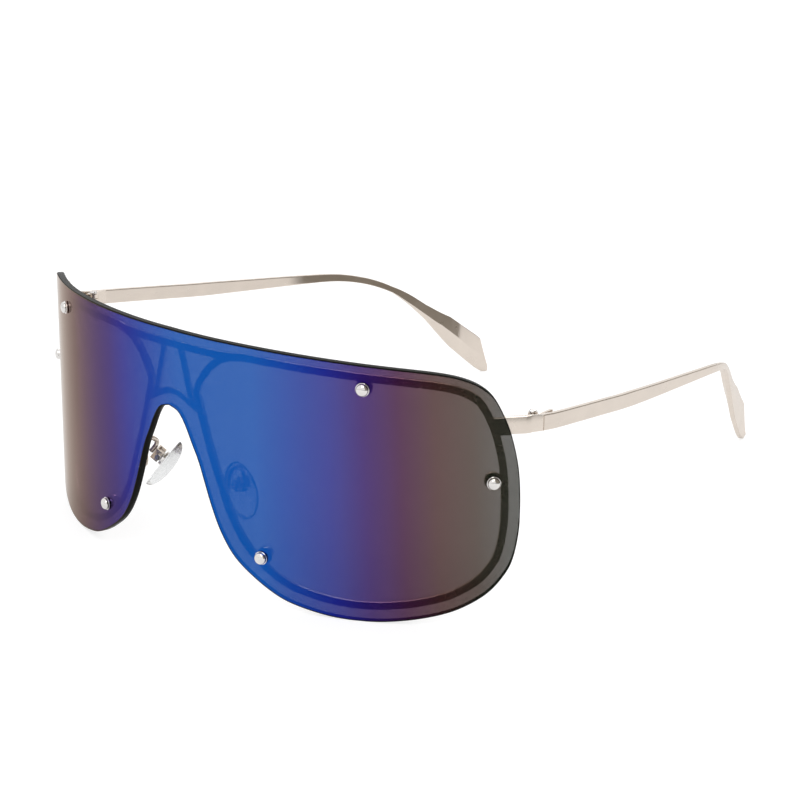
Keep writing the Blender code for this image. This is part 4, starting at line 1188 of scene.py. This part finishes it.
def temple_rings():
    """Sections of the left temple: a ten-sided loop, crowned outside, with a ridge inside
    that leaves the lower edge, folds and runs out at the tip, carried along a smooth line."""
    sides = settings().sides
    fold_chamfers = 1.5
    line = smooth(TEMPLE_LINE_SHARES, CURVE_STEPS)
    cut = 1 - sides.slant * np.linspace(1.0, 0.0, CUT_STEPS) / sides.reach
    line = np.vstack([line[line[:, 0] < cut[0]],
                      np.stack([np.interp(cut, line[:, 0], line[:, k]) for k in range(3)], 1)])
    share = line[:, 0]
    end_x, end_y, _ = endpiece_end()
    start_y = end_y + sides.run + sides.butt_gap
    plan = np.stack([end_x - sides.set_in * line[:, 1], start_y + sides.reach * share], 1)
    plan[0, 1] -= butt_reach()
    along = np.gradient(plan, axis=0)
    along[0] = (0.0, 1.0)
    along = unit(along)
    heights = (sides.front_height, sides.blade_height, sides.shank_height,
               sides.waist_height, sides.waist_height, sides.heel_height,
               sides.paddle_height, sides.tip_height, sides.tip_back)
    height = np.interp(share, BLADE_STATION_SHARES, heights)
    centre = sides.tip_height / 2 + (sides.line_z - sides.tip_height / 2) * line[:, 2]
    past = np.maximum(0.0, 1 - (1 - share) * sides.reach / sides.slant)
    low = centre - height / 2 + sides.tip_rise * past ** 2
    top = centre + height / 2 + (sides.tip_rise + sides.tip_end - height) * past
    tall = top - low
    edge = np.minimum(sides.chamfer, tall / 4)
    half = np.full_like(share, sides.blade / 2)
    crown = sides.crown * np.interp(share, CROWN_STATION_SHARES, (0.0, 1.0))
    proud = sides.ridge * np.interp(share, RIDGE_STATION_SHARES, RIDGE_PROUD_SHARES)
    fold = low + np.maximum(tall * np.interp(share, RIDGE_STATION_SHARES[2:4],
                                             RIDGE_HEIGHT_SHARES), fold_chamfers * edge)
    far = np.stack([half - edge, half, half + crown, half, half - edge, edge - half, -half,
                    -half - proud, -half, edge - half], axis=1)
    up = np.stack([top, top - edge, (top + low) / 2, low + edge, low, low, low + edge, fold,
                   top - edge, top], axis=1)
    out = np.stack([along[:, 1], -along[:, 0]], axis=1)
    flat = plan[:, None, :] + far[..., None] * out[:, None, :]
    rings = np.concatenate([flat, up[..., None]], axis=-1)
    return round_corners(rings, sides.round_edge)


def pad_matrix():
    """Left pad's own axes: X into the nose, Y along its screw, Z up the pad, at the screw."""
    pads = settings().pads
    inward = Vector((-math.cos(pads.splay) * math.cos(pads.flare),
                     math.sin(pads.splay) * math.cos(pads.flare), -math.sin(pads.flare)))
    upright = Vector((0, 0, 1))
    up = (upright - upright.dot(inward) * inward).normalized()
    across = up.cross(inward)
    return Matrix((inward, across, up)).transposed().to_4x4()


def pad_place():
    """Middle of the left pad's hinge: the joint's own place."""
    joint = next(j for j in frame["joints"] if j["name"] == "left_pad_rock")
    return Matrix.Translation(Vector(joint["pos_m"])) @ pad_matrix()


def pad_surface():
    """Soft oval pad. Going from the middle of its back over the rim to the middle of its
    face, the radius goes 0, 1, 0 and the height 0, 0, 1: r = sin(t) ** fullness and
    h = cos(t) ** flatness over the face. The back is slightly dished and the top narrower."""
    pads = settings().pads
    fullness, flatness, lip, narrowing = 0.9, 1.1, 0.10, 0.10
    turn = round_turns(PAD_SIDES)
    t = np.linspace(math.pi / 2, 0, PAD_STEPS)
    back = np.array(PAD_BACK_SHARES)
    radius = np.concatenate([back[:, 0], np.sin(t) ** fullness])[:, None]
    height = np.concatenate([back[:, 1], lip + (1 - lip) * np.cos(t) ** flatness])
    across, tall = np.cos(turn), np.sin(turn)
    ring_y = radius * (across * (1 - narrowing * tall)) * pads.width / 2
    ring_z = radius * tall * pads.tall / 2 - pads.drop
    ring_x = np.broadcast_to((pads.face + height * pads.thickness)[:, None], ring_y.shape)
    rings = np.stack([ring_x, ring_y, ring_z], axis=-1)
    return rings.reshape(-1, 3), grid_quads(len(radius), PAD_SIDES, True).tolist()


def arm_path():
    """Path of the left arm: back from the rim, up, over and down behind the pad's box."""
    lens, front, pads = settings().lens, settings().front, settings().pads
    clearance = settings().fasteners.clearance
    rim = rim_line(COARSE_STEPS)
    back = frame_middle() + front.rim_depth / 2
    nose_side = rim[rim[:, 0] < lens.arc / 4]
    matrix = pad_place()
    foot_z = matrix.translation.z - pads.foot_drop
    foot_s = nose_side[np.argmin(np.abs(nose_side[:, 1] - foot_z)), 0]
    foot = Vector(wrap(np.array([foot_s, back + clearance, foot_z])))
    lift = Vector(wrap(np.array([foot_s, back + 2 * pads.arm_radius, foot_z])))
    behind = -pads.box_depth - clearance - pads.arm_radius
    seat = matrix @ Vector((behind, 0, -pads.box_height / 4))
    over = matrix @ Vector((behind, 0, pads.box_height / 2))
    crest = Vector(((foot.x + over.x) / 2, foot.y + pads.arm_back, foot.z + pads.arm_rise))
    knee = Vector((foot.x, lift.y + pads.knee_back * (crest.y - lift.y),
                   foot.z + pads.knee_rise * pads.arm_rise))
    fall = Vector((over.x, over.y, (crest.z + over.z) / 2))
    return smooth([foot, lift, knee, crest, fall, over, seat], CURVE_STEPS)


def wire_rings(path, radius):
    """Round wire along a path: each ring is the path's point, plus the radius times one
    cos(a) + two sin(a). Both directions are square to the path, and the first is as near as
    it can be to the direction in which the path is thinnest."""
    along = unit(np.gradient(path, axis=0))
    thin = np.linalg.svd(path - path.mean(axis=0))[2][2]
    one = unit(thin - (along @ thin)[:, None] * along)
    two = np.cross(along, one)
    turn = round_turns(WIRE_SIDES)[None, :, None]
    return path[:, None] + radius * (np.cos(turn) * one[:, None] + np.sin(turn) * two[:, None])


def both_sides(name, points, faces, bodies, material, sharp=SHARP):
    """A left piece and its mirror, each in place of the CAD node of its own name."""
    for (side, sign), body in zip(SIDES, bodies):
        places = points if sign > 0 else mirrored(points)
        mesh = make_mesh(name, places, faces)
        add_piece("fine_" + name + "_" + side, mesh, body, material,
                  [name + "_" + side], sharp)


class SHIELD_OT_lens(bpy.types.Operator):
    """Build the lens body and its mirror coat"""
    bl_idname = "shield.lens"
    bl_label = "Lens"

    def execute(self, context):
        lens = settings().lens
        body = make_mesh("lens_body", *lens_shell(lens.coat + lens.coat_gap, lens.thickness,
                                                  lens.edge))
        for name, build in (("lens_body", body_material), ("lens_edge", edge_material)):
            body.materials.append(once(name, build))
        paint_lens(body, 0, 0, 1)
        add_piece("fine_lens_body", body, "front", None, ["lens_shield"])
        film = make_mesh("mirror_coat", *lens_shell(0.0, lens.coat, lens.coat / 4))
        for name, build in (("mirror_coat", coat_material), ("coat_inside", clear_film)):
            film.materials.append(once(name, build))
        paint_lens(film, 0, 1, 1)
        note_edge_gap(film)
        add_piece("fine_mirror_coat", film, "front", None, ["lens_shield"])
        return {"FINISHED"}


class SHIELD_OT_front_frame(bpy.types.Operator):
    """Build the two rims, the laced bridge and the lugs as one bent piece"""
    bl_idname = "shield.front_frame"
    bl_label = "Front Frame"

    def execute(self, context):
        pieces = frame_pieces()
        whole = combined(pieces[0], pieces[1:], "UNION")
        whole = combined(whole, hole_cutters(), "DIFFERENCE")
        set_coordinates(whole, wrap(coordinates(whole)))
        whole.materials.clear()
        add_piece("fine_front_frame", whole, "front",
                  once("polished_frame", metal), ["front_frame"])
        return {"FINISHED"}


class SHIELD_OT_lens_fasteners(bpy.types.Operator):
    """Build the six lens screws with their washers and nuts"""
    bl_idname = "shield.lens_fasteners"
    bl_label = "Lens Screws"

    def execute(self, context):
        kinds = (("lens_screw", turned(head_profile())),
                 ("lens_washer", turned(washer_profile())), ("lens_nut", nut_surface()))
        material = once("bright_screw", metal)
        for place_name, matrix in screw_matrices().items():
            for kind, (points, faces) in kinds:
                name = kind + "_" + place_name
                mesh = make_mesh(name, placed(points, matrix), faces)
                add_piece("fine_" + name, mesh, "front", material, [name])
        return {"FINISHED"}


class SHIELD_OT_endpieces(bpy.types.Operator):
    """Build the strips from the rims round to the hinges"""
    bl_idname = "shield.endpieces"
    bl_label = "Endpieces"

    def execute(self, context):
        points, faces = tube(endpiece_rings())
        both_sides("endpiece", points, faces, ("front", "front"),
                   once("polished_frame", metal))
        return {"FINISHED"}


class SHIELD_OT_hinges(bpy.types.Operator):
    """Soften the hinge leaves and screws"""
    bl_idname = "shield.hinges"
    bl_label = "Hinges"

    def execute(self, context):
        leaf, bright = once("tumbled_hinge", metal), once("bright_screw", metal)
        for side, _ in SIDES:
            for kind, body, slot, material in (
                    ("hinge_front_leaf", "front", "hinge_metal", leaf),
                    ("hinge_temple_leaf", "temple_" + side, "hinge_metal", leaf),
                    ("hinge_screw", "front", "screw_metal", bright)):
                softened(kind + "_" + side, body, material)
        return {"FINISHED"}


class SHIELD_OT_temples(bpy.types.Operator):
    """Build the temples with their faceted paddle ends"""
    bl_idname = "shield.temples"
    bl_label = "Temples"

    def execute(self, context):
        points, faces = tube(temple_rings())
        both_sides("temple", points, faces, ("temple_left", "temple_right"),
                   once("brushed_temple", metal), FOLD_SHARP)
        return {"FINISHED"}


class SHIELD_OT_pad_arms(bpy.types.Operator):
    """Build the pad arms and soften the boxes and screws"""
    bl_idname = "shield.pad_arms"
    bl_label = "Pad Arms"

    def execute(self, context):
        points, faces = tube(wire_rings(arm_path(), settings().pads.arm_radius))
        both_sides("pad_arm", points, faces, ("front", "front"),
                   once("polished_frame", metal))
        for side, _ in SIDES:
            softened("pad_box_" + side, "front", once("tumbled_hinge", metal))
            softened("pad_screw_" + side, "front", once("bright_screw", metal))
        return {"FINISHED"}


class SHIELD_OT_nose_pads(bpy.types.Operator):
    """Build the clear nose pads and soften their metal cores"""
    bl_idname = "shield.nose_pads"
    bl_label = "Nose Pads"

    def execute(self, context):
        points, faces = pad_surface()
        both_sides("nose_pad", placed(points, pad_place()), faces, ("pad_left", "pad_right"),
                   once("clear_silicone", silicone))
        for side, _ in SIDES:
            softened("pad_insert_" + side, "pad_" + side,
                     once("pad_core_steel", metal))
        return {"FINISHED"}


def floor_material(name):
    """Pale floor with a pool of light painted round the glasses: past the pool its colour and
    its glow to gloss and glass are painted darker. It keeps a soft shadow and glows to camera,
    gloss and glass, to the camera past the pool too."""
    studio = settings().studio
    outside = 0.2
    plain = {"Roughness": 1.0, "Specular IOR Level": 0.0, "Emission Color": WHITE}
    material, tree, shader, _ = new_material(name, plain=plain)
    away = node(tree, "VectorMath", operation="DISTANCE")
    link(tree, node(tree, "TexCoord").outputs["Object"], away.inputs[0])
    link(tree, PAINTED_POOL_CENTRE, away.inputs[1])
    # Painted light: the floor's colour and gloss glow fall from full in the pool to a fifth past
    # its edge
    pool = map_range(tree, away.outputs["Value"], (studio.pool, studio.painted_pool_edge),
                     (1.0, outside))
    shown = node(tree, "VectorMath", operation="SCALE")
    link(tree, studio.floor_colour, shown.inputs[0])
    link(tree, pool, shown.inputs["Scale"])
    link(tree, shown.outputs[0], shader.inputs["Base Color"])
    path = node(tree, "LightPath")
    glow = maths(tree, "MULTIPLY", seen_in_gloss(tree, path), studio.floor_glow)
    white = maths(tree, "SUBTRACT", studio.floor_white + 1.0, pool)
    glow = maths(tree, "MAXIMUM", maths(tree, "MULTIPLY", glow, pool),
                 maths(tree, "MULTIPLY", path.outputs["Is Camera Ray"], white))
    link(tree, glow, shader.inputs["Emission Strength"])
    return material


def build_world():
    """Even sky for diffuse light, white to the camera. In gloss and glass it is a light room
    with a dark side, whose tone follows the cosine of the angle to that side."""
    studio = settings().studio
    world = bpy.data.worlds.new("studio")
    world.use_nodes = True
    tree = world.node_tree
    background = tree.nodes["Background"]
    toward = node(tree, "VectorMath", operation="DOT_PRODUCT")
    link(tree, node(tree, "TexCoord").outputs["Generated"], toward.inputs[0])
    link(tree, Vector(DARK_DIRECTION).normalized(), toward.inputs[1])
    path = node(tree, "LightPath")
    gloss = seen_in_gloss(tree, path)
    dark = map_range(tree, toward.outputs["Value"], DARK_COSINES, (0.0, 1.0))
    dark = maths(tree, "MULTIPLY", dark, gloss)
    tone = map_range(tree, dark, (0.0, 1.0), (studio.light_side, studio.dark_side))
    strength = node(tree, "Mix")
    for title, value in (("Factor", gloss), ("A", studio.sky), ("B", tone)):
        link(tree, value, strength.inputs[title])
    link(tree, mixed(tree, dark, WHITE, (*studio.dark_colour, 1.0)),
         background.inputs["Color"])
    link(tree, maths(tree, "MAXIMUM", strength.outputs["Result"],
                     path.outputs["Is Camera Ray"]), background.inputs["Strength"])
    bpy.context.scene.world = world


def build_floor():
    """Flat floor, just under what stands on it."""
    half, z = settings().studio.floor / 2, -settings().studio.floor_drop
    corners = [(-half, -half, z), (half, -half, z), (half, half, z), (-half, half, z)]
    mesh = bpy.data.meshes.new("floor")
    mesh.from_pydata(corners, [], [(0, 1, 2, 3)])
    mesh.materials.append(floor_material("floor"))
    floor = bpy.data.objects.new("floor", mesh)
    bpy.context.scene.collection.objects.link(floor)


def build_lights():
    """Two soft panels, above and to the sides."""
    for name, place, size in PANELS:
        lamp = bpy.data.lights.new(name, "AREA")
        lamp.energy = settings().studio.panel
        lamp.size = size
        thing = bpy.data.objects.new(name, lamp)
        thing.location = place
        thing.rotation_euler = (-Vector(place)).to_track_quat("-Z", "Y").to_euler()
        bpy.context.scene.collection.objects.link(thing)


def build_camera():
    """Camera at the photograph's place, turned by yaw, pitch and roll."""
    studio = settings().studio
    right = Vector((math.cos(studio.yaw), math.sin(studio.yaw), 0))
    ahead = Vector((-math.sin(studio.yaw) * math.cos(studio.pitch),
                    math.cos(studio.yaw) * math.cos(studio.pitch), -math.sin(studio.pitch)))
    up = right.cross(ahead)
    tilted = right * math.cos(studio.roll) + up * math.sin(studio.roll)
    camera = bpy.data.cameras.new("camera")
    camera.lens = studio.focal
    camera.sensor_width = studio.sensor
    camera.clip_start = studio.clip
    thing = bpy.data.objects.new("camera", camera)
    bpy.context.scene.collection.objects.link(thing)
    turn = Matrix((tilted, tilted.cross(ahead), -ahead)).transposed().to_4x4()
    place = Vector((studio.camera_x, studio.camera_y + FRONT_Y, studio.camera_z))
    thing.matrix_world = Matrix.Translation(place) @ turn
    bpy.context.scene.camera = thing


class SHIELD_OT_stage(bpy.types.Operator):
    """Set the floor, sky, panels and camera"""
    bl_idname = "shield.stage"
    bl_label = "Stage"

    def execute(self, context):
        build_floor()
        build_world()
        build_lights()
        build_camera()
        context.scene.view_settings.view_transform = "Standard"
        return {"FINISHED"}


class SHIELD_PT_sunglasses(bpy.types.Panel):
    """Lists the operators and the sizes"""
    bl_label = "Shield Sunglasses"
    bl_idname = "SHIELD_PT_sunglasses"
    bl_space_type = "VIEW_3D"
    bl_region_type = "UI"
    bl_category = "Sunglasses"

    def draw(self, context):
        for operator in OPERATORS:
            self.layout.operator(operator.bl_idname)
        glasses = context.scene.shield_glasses
        for title in ("lens", "front", "fasteners", "sides", "pads", "colours", "studio"):
            group = getattr(glasses, title)
            box = self.layout.box()
            box.label(text=title.title())
            for key in group.bl_rna.properties.keys():
                if key not in {"rna_type", "name"}:
                    box.prop(group, key)


OPERATORS = (SHIELD_OT_lens, SHIELD_OT_front_frame, SHIELD_OT_lens_fasteners,
             SHIELD_OT_endpieces, SHIELD_OT_hinges, SHIELD_OT_temples, SHIELD_OT_pad_arms,
             SHIELD_OT_nose_pads, SHIELD_OT_stage)
CLASSES = (LensSizes, FrameSizes, FastenerSizes, SideSizes, PadSizes, Colours, StudioSizes,
           ShieldGlasses, *OPERATORS, SHIELD_PT_sunglasses)


def register():
    """Register every class and hang the settings on the scene."""
    for item in CLASSES:
        bpy.utils.register_class(item)
    bpy.types.Scene.shield_glasses = PointerProperty(type=ShieldGlasses)


def unregister():
    """Take the settings and classes away again."""
    del bpy.types.Scene.shield_glasses
    for item in reversed(CLASSES):
        bpy.utils.unregister_class(item)


def main():
    """Build every piece and the stage."""
    register()
    bpy.ops.shield.lens()
    bpy.ops.shield.front_frame()
    bpy.ops.shield.lens_fasteners()
    bpy.ops.shield.endpieces()
    bpy.ops.shield.hinges()
    bpy.ops.shield.temples()
    bpy.ops.shield.pad_arms()
    bpy.ops.shield.nose_pads()
    bpy.ops.shield.stage()


if __name__ == "__main__":
    main()
